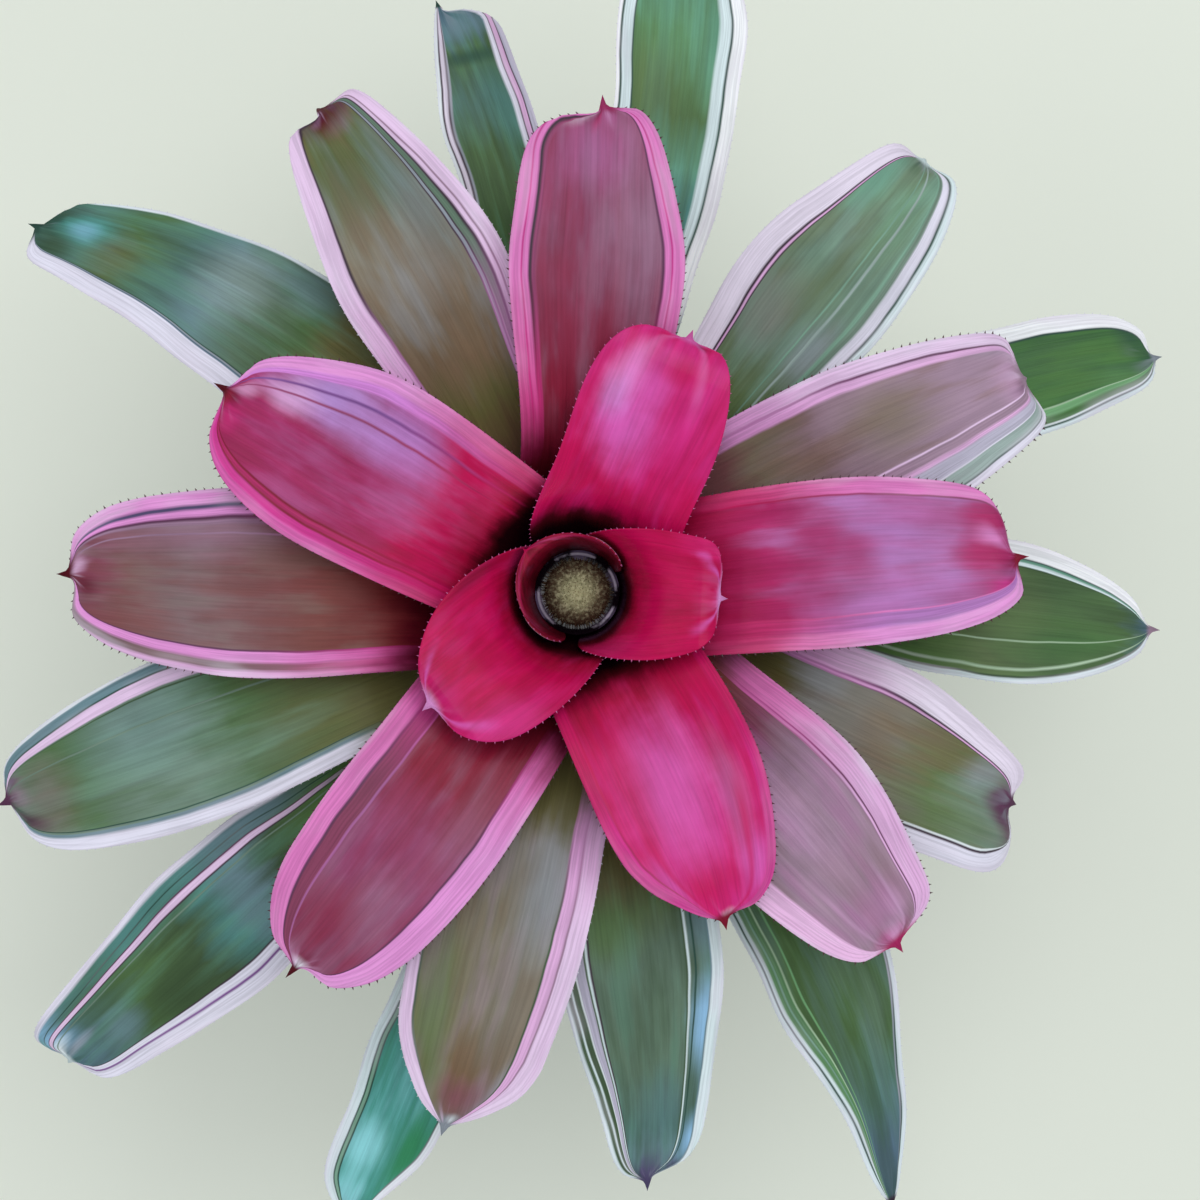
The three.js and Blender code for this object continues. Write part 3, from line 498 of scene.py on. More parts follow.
            (0.7, 0.84, 0.2, 0.12, 0.4, "pine"), (0.3, 0.85, 0.15, 0.1, 0.5, "leaf"),
            (0.5, 0.76, 0.3, 0.05, 0.4, "fern")),
        "tip": ("steel", 0.03), "bite": (2, 0),
        "mottle": ("yew", "grass"), "point": "ash",
    },
    20: {
        "ground": (
            (0.5, "grass"), (0.58, "pine"), (0.64, "slate"), (0.69, "teal"), (0.74, "pine"),
            (0.84, "ivy"), (0.91, "spruce"), (0.97, "steel")),
        "left": ((4.8, "pearl"), (0.9, "grape"), (2.8, "pearl"), (0.6, "ink")),
        "right": (
            (1.8, "pearl"), (2.6, ""), (0.4, "bottle"), (2.4, ""), (0.5, "aubergine"),
            (2.2, "thistle"), (0.6, "ink"), (1.8, ""), (0.5, "sage")),
        "patches": (
            (0.06, 0.6, 0.12, 0.1, 1, "slate"), (0.08, 0.78, 0.12, 0.12, 1, "teal"),
            (0.7, 0.8, 0.22, 0.07, 0.8, "yew"), (0.18, 0.96, 0.24, 0.03, 1, "sky"),
            (0.28, 0.975, 0.07, 0.03, 1, "white"), (0.1, 0.985, 0.06, 0.03, 0.9, "lagoon"),
            (0.6, 0.89, 0.16, 0.03, 0.6, "slate"), (0.5, 0.65, 0.3, 0.03, 0.6, "slate"),
            (0.42, 0.96, 0.06, 0.03, 0.8, "mist")),
        "bite": (2, 0),
        "mottle": ("yew", "jade"), "point": "frost",
    },
    21: {
        "ground": (
            (0.6, "teal"), (0.66, "jade"), (0.73, "ivy"), (0.85, "clover"), (0.92, "jade")),
        "left": ((0.8, "snow"), (0.7, "bottle"), (3.2, "frost"), (0.5, "bottle")),
        "right": ((4, "snow"), (0.8, "bottle"), (3.4, "frost")),
        "patches": (
            (0.2, 0.84, 0.16, 0.08, 0.8, "jade"), (0.7, 0.76, 0.2, 0.06, 0.4, "moss"),
            (0.75, 0.95, 0.2, 0.04, 0.6, "gum")),
        "mottle": ("ivy", "jade"), "point": "frost",
    },
    22: {
        "ground": ((0.5, "grass"), (0.76, "ivy"), (0.86, "spruce"), (0.92, "steel")),
        "left": ((1.2, "frost"), (0.5, "bottle"), (0.5, "mist")),
        "right": (
            (1.2, "frost"), (0.6, "bottle"), (1, "frost"), (1.4, "clover"), (0.6, "gum"),
            (1.6, "clover"), (0.6, "celadon"), (2.2, ""), (0.6, "mint")),
        "patches": (
            (0.3, 0.76, 0.12, 0.1, 0.5, "pine"), (0.75, 0.74, 0.15, 0.06, 0.5, "lichen"),
            (0.6, 0.66, 0.2, 0.04, 0.4, "lichen")),
        "mottle": ("yew", "slate"), "point": "ink",
    },
    24: {
        "ground": ((0.6, "leaf"), (0.94, "leaf"), (0.99, "bottle")),
        "left": ((5, "snow"), (0.8, "bottle")),
        "right": (
            (1.2, "frost"), (0.6, "bottle"), (0.6, "white"), (2.2, "leaf"), (2.4, "mint"),
            (0.6, "celadon")),
        "patches": (
            (0.6, 0.85, 0.3, 0.08, 0.3, "grass"), (0.3, 0.92, 0.15, 0.04, 0.4, "clover"),
            (0.8, 0.95, 0.2, 0.02, 0.7, "bottle")),
        "bite": (1, 0),
        "mottle": ("bottle", "grass"), "point": "mist",
    },
    25: {
        "ground": ((0.6, "teal"), (0.78, "lagoon"), (0.94, "lagoon"), (0.99, "slate")),
        "left": ((2, "white"), (0.5, "bottle")),
        "right": ((3, "frost"), (0.5, "bottle"), (1, "gum"), (0.5, "bottle")),
        "patches": (
            (0.8, 0.86, 0.18, 0.06, 1, "emerald"), (0.3, 0.87, 0.22, 0.035, 0.85, "sea"),
            (0.3, 0.945, 0.2, 0.025, 0.5, "sea"), (0.75, 0.74, 0.1, 0.03, 0.7, "frost")),
        "mottle": ("emerald", "sea"), "point": "frost",
    },
    26: {
        "ground": ((0.6, "ivy"), (0.74, "ivy"), (0.82, "spruce"), (0.9, "ivy"), (0.95, "steel")),
        "left": ((0.9, "white"), (0.6, "ink"), (1.3, "opal"), (0.7, "ink"), (0.7, "mist")),
        "right": ((1.5, "haze"), (0.4, "ink"), (1.6, "lilac"), (0.4, "ink"), (1.6, "pearl")),
        "patches": (
            (0.3, 0.8, 0.2, 0.08, 0.5, "teal"), (0.5, 0.895, 0.5, 0.012, 0.8, "bottle"),
            (0.35, 0.945, 0.3, 0.02, 0.8, "slate"), (0.9, 0.95, 0.1, 0.03, 0.8, "bottle")),
        "bite": (0, 3),
        "mottle": ("yew", "jade"), "point": "bottle",
    },
}

# What changes from the heart of the rosette outward. Each row holds up to the rank that
# it starts with.
# The tints of the creases at the tip are painted highlights and painted shade.
FOLD_LIGHT_AND_SHADE = (  # tints of the light and the dark creases at the tip, and how strong the light is
    (4, "pink", "crimson", 0.25), (9, "lilac", "garnet", 0.55),
    (13, "thistle", "aubergine", 0.55), (LAST_RANK, "mist", "bottle", 0.55))
# The lights on a margin and the pale line along its edge are painted highlights.
MARGIN_HIGHLIGHTS = (  # strength of the lights on a margin and of the pale line along its edge
    (5, 0.1, 0.05), (8, 0.2, 0.12), (LAST_RANK, 0.35, 0.25))
UNDERSIDES = ((4, "wine"), (LAST_RANK, "olive"))
SPINES = (  # material, its two tints, and size
    (3, "spine_rose", "claret", "pink", 0.8), (11, "spine_dark", "garnet", "ink", 1.0),
    (LAST_RANK, "spine_pale", "opal", "white", 0.6))

LAST_OPENING = 0.38  # place along a leaf by which its margins have begun
STRAND_DRIFT = 0.09  # how far the strands move the tones of the ground along the blade
CLOUD_DRIFT = 0.07  # the same for the clouds
MOTTLE = (0.42, 0.32)  # strength of the darker and of the lighter clouds on the ground
# The dark creases at the tip are painted shade.
FOLD_SHADE = 0.6  # strength of the dark creases at the tip
FOLD_LENGTH = 14.0  # how far the creases at the tip reach back, in millimetres
FLUSH_FADE = 0.16  # half the stretch along a leaf in which its margins get their own colours
GRAIN_SEED, FOLD_SEED, VEIN_SEED = 3.7, 5.3, 2.9  # steps of each noise's seed, rank to rank

# Dull natural surfaces: dark and pale tint, roughness, scales of the speckle and of the
# blotches, and depth of the relief in millimetres.
GROWN = {
    "stem_tissue": ("rush", "reed", 0.75, 900.0, 150.0, 0.3),
    "potting_mix": ("peat", "compost", 0.95, 1100.0, 220.0, 0.8),
    "bark_chip": ("bark", "cork", 0.85, 1300.0, 180.0, 0.4),
    "perlite": ("pumice", "chalk", 0.9, 1500.0, 300.0, 0.2),
}

# The stage, in metres.
FLOOR_HALF = 3.0
CAMERA_PLACE = (0.0072, -0.0024)  # x and y, near the axis of the plant
LIGHT_TARGET = (0, 0, 0.15)
LIGHTS = (  # place, size and power
    ("overhead_light", (0.4, 0.6, 1.9), 1.6, 15.5),
    ("side_light", (-1.3, 0.2, 1.1), 1.2, 4.2),
    ("low_light", (0.6, -1.4, 0.8), 1.2, 3.6),
)
SKY_COLOUR = (0.93, 0.97, 1.0, 1.0)
SKY_STRENGTH = 0.48


# --------------------------------------------------------------------------- settings


class LeafSettings(bpy.types.PropertyGroup):
    rows: IntProperty(name="Rows", description="Rows of faces along a blade", default=110, min=20)
    columns: IntProperty(
        name="Columns", description="Columns of faces across a blade", default=36, min=8)
    middle_thickness: FloatProperty(
        name="Middle Thickness", description="Thickness of a blade along its middle",
        default=0.95 * MM, subtype="DISTANCE", unit="LENGTH")
    edge_thickness: FloatProperty(
        name="Edge Thickness", description="Thickness of a blade at its edges",
        default=0.65 * MM, subtype="DISTANCE", unit="LENGTH")
    spine_pitch: FloatProperty(
        name="Spine Pitch", description="Distance between two spines on an edge",
        default=2.6 * MM, subtype="DISTANCE", unit="LENGTH")
    spine_length: FloatProperty(
        name="Spine Length", description="How far a spine stands out of the edge",
        default=0.95 * MM, subtype="DISTANCE", unit="LENGTH")
    spine_radius: FloatProperty(
        name="Spine Radius", description="Radius of a spine at its root",
        default=0.32 * MM, subtype="DISTANCE", unit="LENGTH")


class HeadSettings(bpy.types.PropertyGroup):
    buds: IntProperty(name="Buds", description="Number of buds on the head", default=900, min=10)
    bud_length: FloatProperty(
        name="Bud Length", description="Length of one bud", default=1.8 * MM, subtype="DISTANCE",
        unit="LENGTH")
    bud_radius: FloatProperty(
        name="Bud Radius", description="Radius of one bud", default=0.3 * MM, subtype="DISTANCE",
        unit="LENGTH")
    colour: FloatVectorProperty(
        name="Bud Colour", description="Colour of the buds in the middle of the head",
        default=(0.36, 0.34, 0.19), subtype="COLOR", size=3, min=0, max=1)


class SoilSettings(bpy.types.PropertyGroup):
    chips: IntProperty(name="Bark Chips", description="Bark chips on the soil", default=900, min=0)
    chip_size: FloatProperty(
        name="Chip Size", description="Greatest length of a bark chip", default=5.5 * MM,
        subtype="DISTANCE", unit="LENGTH")
    grains: IntProperty(
        name="Perlite Grains", description="White grains in the soil", default=140, min=0)


class PotSettings(bpy.types.PropertyGroup):
    sides: IntProperty(name="Sides", description="Faces round the pot", default=128, min=16)
    colour: FloatVectorProperty(
        name="Pot Colour", description="Colour of the pot's plastic",
        default=(0.022, 0.024, 0.027), subtype="COLOR", size=3, min=0, max=1)


class StageSettings(bpy.types.PropertyGroup):
    camera_height: FloatProperty(
        name="Camera Height", description="Height of the camera above the floor", default=1.05,
        subtype="DISTANCE", unit="LENGTH")
    focal_length: FloatProperty(
        name="Focal Length", description="Focal length of the camera in millimetres",
        default=81.5, unit="CAMERA")
    floor_colour: FloatVectorProperty(
        name="Floor Colour", description="Colour of the floor", default=(0.86, 0.90, 0.80),
        subtype="COLOR", size=3, min=0, max=1)


# ------------------------------------------------------------------------- small helpers


def tint(name):
    """Scene-linear RGBA of a named colour."""
    values = [int(PALETTE[name][i:i + 2], 16) / 255 for i in (1, 3, 5)]
    return [v / 12.92 if v <= 0.04045 else ((v + 0.055) / 1.055) ** 2.4 for v in values] + [1.0]


def heights(node):
    """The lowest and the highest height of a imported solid, in millimetres."""
    return [corner.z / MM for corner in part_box(node)]


def by_rank(table, rank):
    """The values that a table gives for a rank: those of the first row that reaches it."""
    return next(row[1:] for row in table if rank <= row[0])


def line_shares(rank):
    """How much of the inner, the middle and the outer line a rank's own line takes."""
    q = rank / LAST_RANK
    return (1 - q) * (1 - 2 * q), 4 * q * (1 - q), q * (2 * q - 1)


def smooth_step(value, low, high):
    """0 up to the low value and 1 from the high one, with a smooth rise between them."""
    share = np.clip((value - low) / (high - low), 0, 1)
    return share * share * (3 - 2 * share)


def through(knots, x):
    """Heights at x of a smooth curve through the knots, which are (x, y) with x rising."""
    xs, ys = np.array(knots, float).T
    before = np.maximum(np.arange(len(xs)) - 1, 0)
    after = np.minimum(np.arange(len(xs)) + 1, len(xs) - 1)
    slopes = (ys[after] - ys[before]) / (xs[after] - xs[before])
    i = np.clip(np.searchsorted(xs, x) - 1, 0, len(xs) - 2)
    span = xs[i + 1] - xs[i]
    t = np.clip((x - xs[i]) / span, 0, 1)
    rise = t * (1 - t) * ((1 - t) * slopes[i] - t * slopes[i + 1]) * span
    return ys[i] + (ys[i + 1] - ys[i]) * t * t * (3 - 2 * t) + rise


def new_object(name, mesh):
    """An object with that mesh, linked to the scene."""
    piece = bpy.data.objects.new(name, mesh)
    bpy.context.scene.collection.objects.link(piece)
    return piece


def shade_smooth(mesh, angle):
    """Smooth shading, but for edges sharper than the angle in degrees."""
    mesh.set_sharp_from_angle(angle=math.radians(angle))
    mesh.polygons.foreach_set("use_smooth", [True] * len(mesh.polygons))


def apply_modifier(piece, modifier):
    """Turns the piece as its modifier leaves it into a plain mesh."""
    evaluated = piece.evaluated_get(bpy.context.evaluated_depsgraph_get())
    mesh = bpy.data.meshes.new_from_object(evaluated)
    piece.modifiers.remove(modifier)
    old = piece.data
    piece.data = mesh
    bpy.data.meshes.remove(old)
    mesh.name = piece.name


def add_nodes_modifier(piece, tree, values):
    """Adds a Geometry Nodes modifier and sets its named inputs."""
    modifier = piece.modifiers.new(tree.name, "NODES")
    modifier.node_group = tree
    for item in tree.interface.items_tree:
        if item.item_type == "SOCKET" and item.in_out == "INPUT" and item.name in values:
            modifier[item.identifier] = values[item.name]
    return modifier


def attach(piece, node):
    """Puts a finished piece in place of the solid that it stands for."""
    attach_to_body(piece, "root")
    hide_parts(node)


def turned(name, section, sides):
    """A closed solid of revolution from (radius, height) points in millimetres.

    The section runs from axis to axis, or closes on itself where it keeps off the axis.
    """
    mesh = bmesh.new()
    angles = [2 * math.pi * i / sides for i in range(sides)]
    rings = []
    for radius, height in section:
        if radius:
            rings.append([
                mesh.verts.new((radius * math.cos(a) * MM, radius * math.sin(a) * MM, height * MM))
                for a in angles])
        else:
            rings.append([mesh.verts.new((0, 0, height * MM))] * sides)
    pairs = list(zip(rings, rings[1:]))
    if section[0][0]:
        pairs.append((rings[-1], rings[0]))
    for low, high in pairs:
        for i in range(sides):
            j = (i + 1) % sides
            corners = list(dict.fromkeys((low[i], low[j], high[j], high[i])))
            if len(corners) > 2:
                mesh.faces.new(corners)
    bmesh.ops.recalc_face_normals(mesh, faces=mesh.faces)
    data = bpy.data.meshes.new(name)
    mesh.to_mesh(data)
    mesh.free()
    return data


# -------------------------------------------------------------------------- node helpers


def set_input(tree, socket, value):
    """Links a node's output to the socket, or sets the socket to a plain value."""
    if isinstance(value, bpy.types.NodeSocket):
        tree.links.new(value, socket)
    else:
        socket.default_value = value


def add_node(tree, kind, inputs=None, **settings):
    """Adds a node, sets its properties, and sets or links its inputs by name or number."""
    node = tree.nodes.new(kind)
    for key, value in settings.items():
        setattr(node, key, value)
    for key, value in (inputs or {}).items():
        if isinstance(key, int):
            socket = node.inputs[key]
        else:
            socket = next(s for s in node.inputs if s.name == key and s.enabled)
        set_input(tree, socket, value)
    return node


def out(node, name=None):
    """The enabled output of that name, or the first enabled one."""
    return next(s for s in node.outputs if s.enabled and (name is None or s.name == name))


def maths(tree, operation, *values):
    return out(add_node(tree, "ShaderNodeMath", dict(enumerate(values)), operation=operation))


def product(tree, first, *others):
    """All the values multiplied together."""
    for value in others:
        first = maths(tree, "MULTIPLY", first, value)
    return first


def vector_maths(tree, operation, inputs):
    return add_node(tree, "ShaderNodeVectorMath", inputs, operation=operation)


def combined(tree, x, y, z=0.0):
    """A vector from its three parts."""
    return out(add_node(tree, "ShaderNodeCombineXYZ", {"X": x, "Y": y, "Z": z}))


def separated(tree, vector):
    """The X and the Y part of a vector."""
    parts = add_node(tree, "ShaderNodeSeparateXYZ", {0: vector})
    return parts.outputs["X"], parts.outputs["Y"]


def map_range(tree, value, low, high, to_low=0.0, to_high=1.0):
    """A smooth step from one value to another while the input goes from low to high."""
    return out(add_node(tree, "ShaderNodeMapRange", {
        "Value": value, "From Min": low, "From Max": high, "To Min": to_low, "To Max": to_high},
        interpolation_type="SMOOTHSTEP"))


def mix_colour(tree, factor, first, second, blend="MIX"):
    return out(add_node(tree, "ShaderNodeMix", {"Factor": factor, "A": first, "B": second},
                        data_type="RGBA", blend_type=blend))


def shaded(tree, colour, noise, contrast, middle):
    """The colour made darker and lighter by a noise, with its strength where that is 0.5."""
    value = maths(tree, "MULTIPLY_ADD", noise, contrast, middle - 0.5 * contrast)
    return mix_colour(tree, 1.0, colour, combined(tree, value, value, value), "MULTIPLY")


def ramp(tree, factor, stops):
    """A colour ramp through (place, colour) stops."""
    node = add_node(tree, "ShaderNodeValToRGB", {0: factor})
    bar = node.color_ramp
    while len(bar.elements) < len(stops):
        bar.elements.new(0.5)
    stops = sorted(stops, key=lambda stop: stop[0])
    for element, (place, _) in zip(bar.elements, stops):
        element.position = place
    for element, (_, colour) in zip(bar.elements, stops):
        element.color = colour
    return node


def stretched_noise(tree, x, y, seed, x_scale, y_scale, detail):
    """Noise over a flat map, drawn out by a scale of its own along each axis."""
    place = combined(tree, product(tree, x, x_scale), product(tree, y, y_scale), seed)
    return out(add_node(tree, "ShaderNodeTexNoise", {
        "Vector": place, "Scale": 1.0, "Detail": detail}))


def new_group(name, inputs, outputs, kind="ShaderNodeTree"):
    """A node group with its named sockets: the group, what it is given, and its results."""
    group = bpy.data.node_groups.new(name, kind)
    for label, value, *default in inputs:
        socket = group.interface.new_socket(
            label, in_out="INPUT", socket_type=f"NodeSocket{value}")
        if default:
            socket.default_value = default[0]
    for label, value in outputs:
        group.interface.new_socket(label, in_out="OUTPUT", socket_type=f"NodeSocket{value}")
    given = group.nodes.new("NodeGroupInput").outputs
    return group, given, group.nodes.new("NodeGroupOutput").inputs


def use_group(tree, name, **inputs):
    """A shared shader group, built the first time that it is asked for."""
    node = tree.nodes.new("ShaderNodeGroup")
    node.node_tree = bpy.data.node_groups.get(name) or GROUP_MAKERS[name](name)
    for key, value in inputs.items():
        set_input(tree, node.inputs[key.replace("_", " ")], value)
    return node.outputs


def new_material(name, **settings):
    """A material with a Principled BSDF whose plain sockets are set by name."""
    material = bpy.data.materials.new(name)
    material.use_nodes = True
    shader = material.node_tree.nodes["Principled BSDF"]
    for key, value in settings.items():
        shader.inputs[key.replace("_", " ")].default_value = value
    return material, material.node_tree, shader


def roughened(tree, shader, height, strength, depth):
    """Gives a material's surface a fine relief."""
    bump = add_node(tree, "ShaderNodeBump", {
        "Height": height, "Strength": strength, "Distance": depth})
    tree.links.new(out(bump), shader.inputs["Normal"])


def random_value(tree, low, high, seed):
    """A random number, or a random vector, for each point."""
    kind = "FLOAT_VECTOR" if isinstance(low, tuple) else "FLOAT"
    return out(add_node(tree, "FunctionNodeRandomValue",
                        {"Min": low, "Max": high, "Seed": seed}, data_type=kind))


def round_axis(tree, radius, angle, height):
    """A point given by its distance from the plant's axis, its direction and its height."""
    return combined(tree, product(tree, radius, maths(tree, "COSINE", angle)),
                    product(tree, radius, maths(tree, "SINE", angle)), height)


def placed_copies(tree, shape, points, rotation, scale):
    """Real copies of a shape at the points."""
    copies = add_node(tree, "GeometryNodeInstanceOnPoints", {
        "Points": points, "Instance": shape, "Rotation": rotation, "Scale": scale})
    return out(add_node(tree, "GeometryNodeRealizeInstances", {"Geometry": out(copies)}))


def with_material(tree, geometry, material):
    return out(add_node(tree, "GeometryNodeSetMaterial",
                        {"Geometry": geometry, "Material": material}))


def joined(tree, first, *others):
    """All the geometry in one."""
    node = add_node(tree, "GeometryNodeJoinGeometry", {"Geometry": first})
    for geometry in others:
        tree.links.new(geometry, node.inputs["Geometry"])
    return out(node)


# --------------------------------------------------------------------- shared shader groups


def blade_grain_group(name):
    """Fine streaks, broad strands, slow clouds and the wander of the margins, on a blade's map."""
    group, given, result = new_group(
        name,
        [("Blade", "Vector"), ("Seed", "Float", 0.0), ("Streaks", "Float", 60.0)],
        [("Streak", "Float"), ("Strand", "Float"), ("Cloud", "Float"), ("Dark", "Float"),
         ("Light", "Float"), ("Wander", "Float")])
    across, along = separated(group, given["Blade"])

    def noise(x_scale, y_scale, detail):
        return stretched_noise(group, across, along, given["Seed"], x_scale, y_scale, detail)

    group.links.new(noise(given["Streaks"], 6.0, 3.0), result["Streak"])
    group.links.new(noise(11.0, 4.5, 4.0), result["Strand"])
    group.links.new(noise(3.5, 13.0, 5.0), result["Cloud"])
    mottle = noise(7.0, 5.5, 3.5)
    group.links.new(map_range(group, mottle, 0.56, 0.34), result["Dark"])
    group.links.new(map_range(group, mottle, 0.46, 0.68), result["Light"])
    wander = maths(group, "SUBTRACT", noise(0.8, 9.0, 2.0), 0.5)
    group.links.new(product(group, wander, 0.05), result["Wander"])
    return group


def edge_vein_group(name):
    """Fine veins along a margin, and painted highlights on it: soft pale lights and a pale line at
    its rim, by the distance from its edge.
    """
    group, given, result = new_group(
        name,
        [("Distance", "Float", 0.0), ("Along", "Float", 0.0), ("Seed", "Float", 0.0)],
        [("Vein", "Float"), ("Light", "Float"), ("Rim", "Float")])
    for mask, x_scale, y_scale, low, high in (
            ("Vein", 45.0, 7.0, 0.35, 0.65), ("Light", 7.0, 9.0, 0.4, 0.75)):
        noise = stretched_noise(
            group, given["Distance"], given["Along"], given["Seed"], x_scale, y_scale, 1.5)
        group.links.new(map_range(group, noise, low, high), result[mask])
    rim = map_range(group, given["Distance"], 0.0, 1.2 / EDGE_REACH, 1.0, 0.0)
    group.links.new(rim, result["Rim"])
    return group


def tip_fold_group(name):
    """Painted highlights and painted shade on creases that gather into the hard point at the end of
    a blade, and the creases' height for the relief.
    """
    group, given, result = new_group(
        name,
        [("Blade", "Vector"), ("Length", "Float", 0.06), ("Seed", "Float", 0.0)],
        [("Light", "Float"), ("Dark", "Float"), ("Height", "Float")])
    across, along = separated(group, given["Blade"])
    to_tip = maths(group, "DIVIDE", maths(group, "SUBTRACT", 1.0, along), given["Length"])
    noise = stretched_noise(group, across, to_tip, given["Seed"], 6.0, 0.7, 2.0)
    fade = map_range(group, to_tip, 1.0, 0.2)
    for mask, low, high in (("Light", 0.52, 0.68), ("Dark", 0.48, 0.32), ("Height", 0.3, 0.7)):
        fold = map_range(group, noise, low, high)
        group.links.new(product(group, fold, fade), result[mask])
    return group


def tone_and_light_patch_group(name):
    """A soft patch on a blade's own map, its border broken up by strands and clouds; it lays the
    leaf's own tones and painted highlights, reflections and shade.
    """
    group, given, result = new_group(
        name,
        [("Blade", "Vector"), ("Centre", "Vector", (0.5, 0.7, 0)),
         ("Size", "Vector", (0.3, 0.1, 1)), ("Strand", "Float", 0.5), ("Cloud", "Float", 0.5)],
        [("Mask", "Float")])
    offset = vector_maths(group, "SUBTRACT", {0: given["Blade"], 1: given["Centre"]})
    scaled = vector_maths(group, "DIVIDE", {0: out(offset), 1: given["Size"]})
    distance = out(vector_maths(group, "LENGTH", {0: out(scaled)}), "Value")
    broken = maths(group, "MULTIPLY_ADD", given["Strand"], -0.8, 0.4)
    clouded = maths(group, "MULTIPLY_ADD", given["Cloud"], -0.7, 0.35)
    reach = maths(group, "ADD", maths(group, "ADD", broken, clouded), distance)
    group.links.new(map_range(group, reach, 1.6, 0.1), result["Mask"])
    return group


def grit_group(name):
    """Fine speckle and slow blotches in object space, for soil, bark, stem and plastic."""
    group, given, result = new_group(
        name,
        [("Fine", "Float", 900.0), ("Coarse", "Float", 60.0)],
        [("Speckle", "Float"), ("Blotch", "Float")])
    place = group.nodes.new("ShaderNodeTexCoord").outputs["Object"]
    for scale, detail, mask in (("Fine", 3.0, "Speckle"), ("Coarse", 4.0, "Blotch")):
        noise = add_node(group, "ShaderNodeTexNoise", {
            "Vector": place, "Scale": given[scale], "Detail": detail})
        group.links.new(out(noise), result[mask])
    return group


GROUP_MAKERS = {
    "Blade Grain": blade_grain_group,
    "Edge Veins": edge_vein_group,
    "Tip Folds": tip_fold_group,
    "Waxy Bloom": tone_and_light_patch_group,
    "Grit": grit_group,
}


# -------------------------------------------------------------------------- leaf surface


class Blade:
    """One leaf's midline, width and surface, worked out in millimetres from its row."""

    def __init__(self, row):
        self.__dict__.update(zip(LEAF_COLUMNS, row))
        self._walk_midline()
        cup = self.rank < len(CUP_WRAPS)
        self.curl_length = CUP_CURL_LENGTHS[self.rank] if cup else CURL_LENGTH
        self.turn = math.radians(self.curl)
        curl_radius = self.reach - self.curl_length * math.sin(self.turn) / self.turn
        self.curl_start = float(np.interp(curl_radius, self.radii, self.walked))
        self.length = self.curl_start + self.curl_length
        self.point = min(POINT_LENGTH, self.half / 6)
        self.point_half = POINT_HALF_WIDTH * self.point / POINT_LENGTH
        self.bite = LEAF_LOOKS[self.rank].get("bite", (0, 0))
        self.knots = self._width_knots(curl_radius + self.curl_length)

    def _walk_midline(self):
        """Walks the leaf's own line, a blend of the three, and keeps it as small steps."""
        inner, middle, outer = line_shares(self.rank)
        controls = inner * np.array(INNER_LINE, float) + middle * np.array(MIDDLE_LINE)
        controls = controls + outer * np.array(OUTER_LINE) + np.array([0, SOIL_TOP])
        padded = np.vstack([controls[:1], controls, controls[-1:]])
        t = np.arange(LINE_STEPS)[:, None] / LINE_STEPS
        pieces = []
        for a, b, c, d in zip(padded, padded[1:], padded[2:], padded[3:]):
            start, finish = (c - a) / 2, (d - b) / 2
            pieces.append((2 * b - 2 * c + start + finish) * t ** 3
                          + (3 * c - 3 * b - 2 * start - finish) * t ** 2 + start * t + b)
        points = np.vstack(pieces + [controls[-1:]])
        self.radii, self.heights = points.T
        steps = np.hypot(np.diff(self.radii), np.diff(self.heights))
        self.walked = np.concatenate([[0], np.cumsum(steps)])
        self.foot = controls[0, 0]
        self.throat = controls[THROAT, 0]

    def _width_knots(self, tip_radius):
        """Half widths at radii from the foot to the tip, before the tip is rounded."""
        foot, throat, half = self.foot, self.throat, self.half
        if self.rank == 0:
            wrap = math.radians(CUP_WRAPS[0])
            clasp = wrap * throat * 0.8
            return (
                (foot, wrap * foot * 0.55), (throat * 0.8, clasp), (throat, clasp),
                (tip_radius, half))
        if self.rank < len(CUP_WRAPS):
            clasp = math.radians(CUP_WRAPS[self.rank]) * throat
            return (
                (foot, foot), (throat * 0.85, clasp * 0.85), (throat, (clasp + half) / 2),
                ((throat + tip_radius) / 2, half), (tip_radius, half * self.end))
        tip_length = max(self.left, self.right) * half
        return (
            (foot, math.radians(SHEATH_ANGLE) * foot * 0.95),
            (SHEATH_AT, SHEATH_HALF_WIDTH),
            (max(NECK_AT, NECK_BEYOND_THROAT * throat), half * self.neck),
            (foot + WIDEST_AT * (tip_radius - foot), half),
            (tip_radius - tip_length / 2, half * self.end))

    def radius_at(self, along):
        """Distance from the axis at a place along the midline, as far as the curl."""
        return np.interp(np.minimum(along, self.curl_start), self.walked, self.radii)

    def half_width(self, along, across, bitten=True):
        """Half the width on each side, evened lengthways so that the outline has no corners."""
        span = EVENING_SHARE * np.clip(self.length - along, 0, EVENING_REACH)
        spread = [self._plain_half_width(along + share * span, across, bitten) for share in EVENING]
        phase = np.where(across > 0, WAVE_PHASES[1], WAVE_PHASES[0]) * self.rank
        wave = sum(np.sin(along * math.tau / length + phase * length) for length in WAVE_LENGTHS)
        begin = smooth_step(along, WAVE_FROM, FULL_WAVE_FROM)
        sway = WAVE * (self.rank / LAST_RANK) ** 2 * begin * smooth_step(self.length - along, 2, 12)
        return sum(spread) / len(spread) + sway * wave

    def unrounded(self, along):
        """Half the width that the blade would have without the rounding of its tip."""
        beyond = np.maximum(0, along - self.curl_start)
        return through(self.knots, self.radius_at(along) + beyond)

    def _plain_half_width(self, along, across, bitten):
        """Half the width on each side, with or without what its tip stops short."""
        full = self.unrounded(along)
        rounding = np.where(across > 0, self.left, self.right) * self.half
        start = self.point + np.where(across > 0, *self.bite) * bitten
        to_tip = self.length - along
        share = np.clip((to_tip - start) / rounding, 0, 1)
        rounded = (full - self.point_half) * (1 - (1 - share) ** self.power) ** (1 / self.power)
        return rounded + self.point_half * np.clip(to_tip / start, 0, 1) ** 1.4

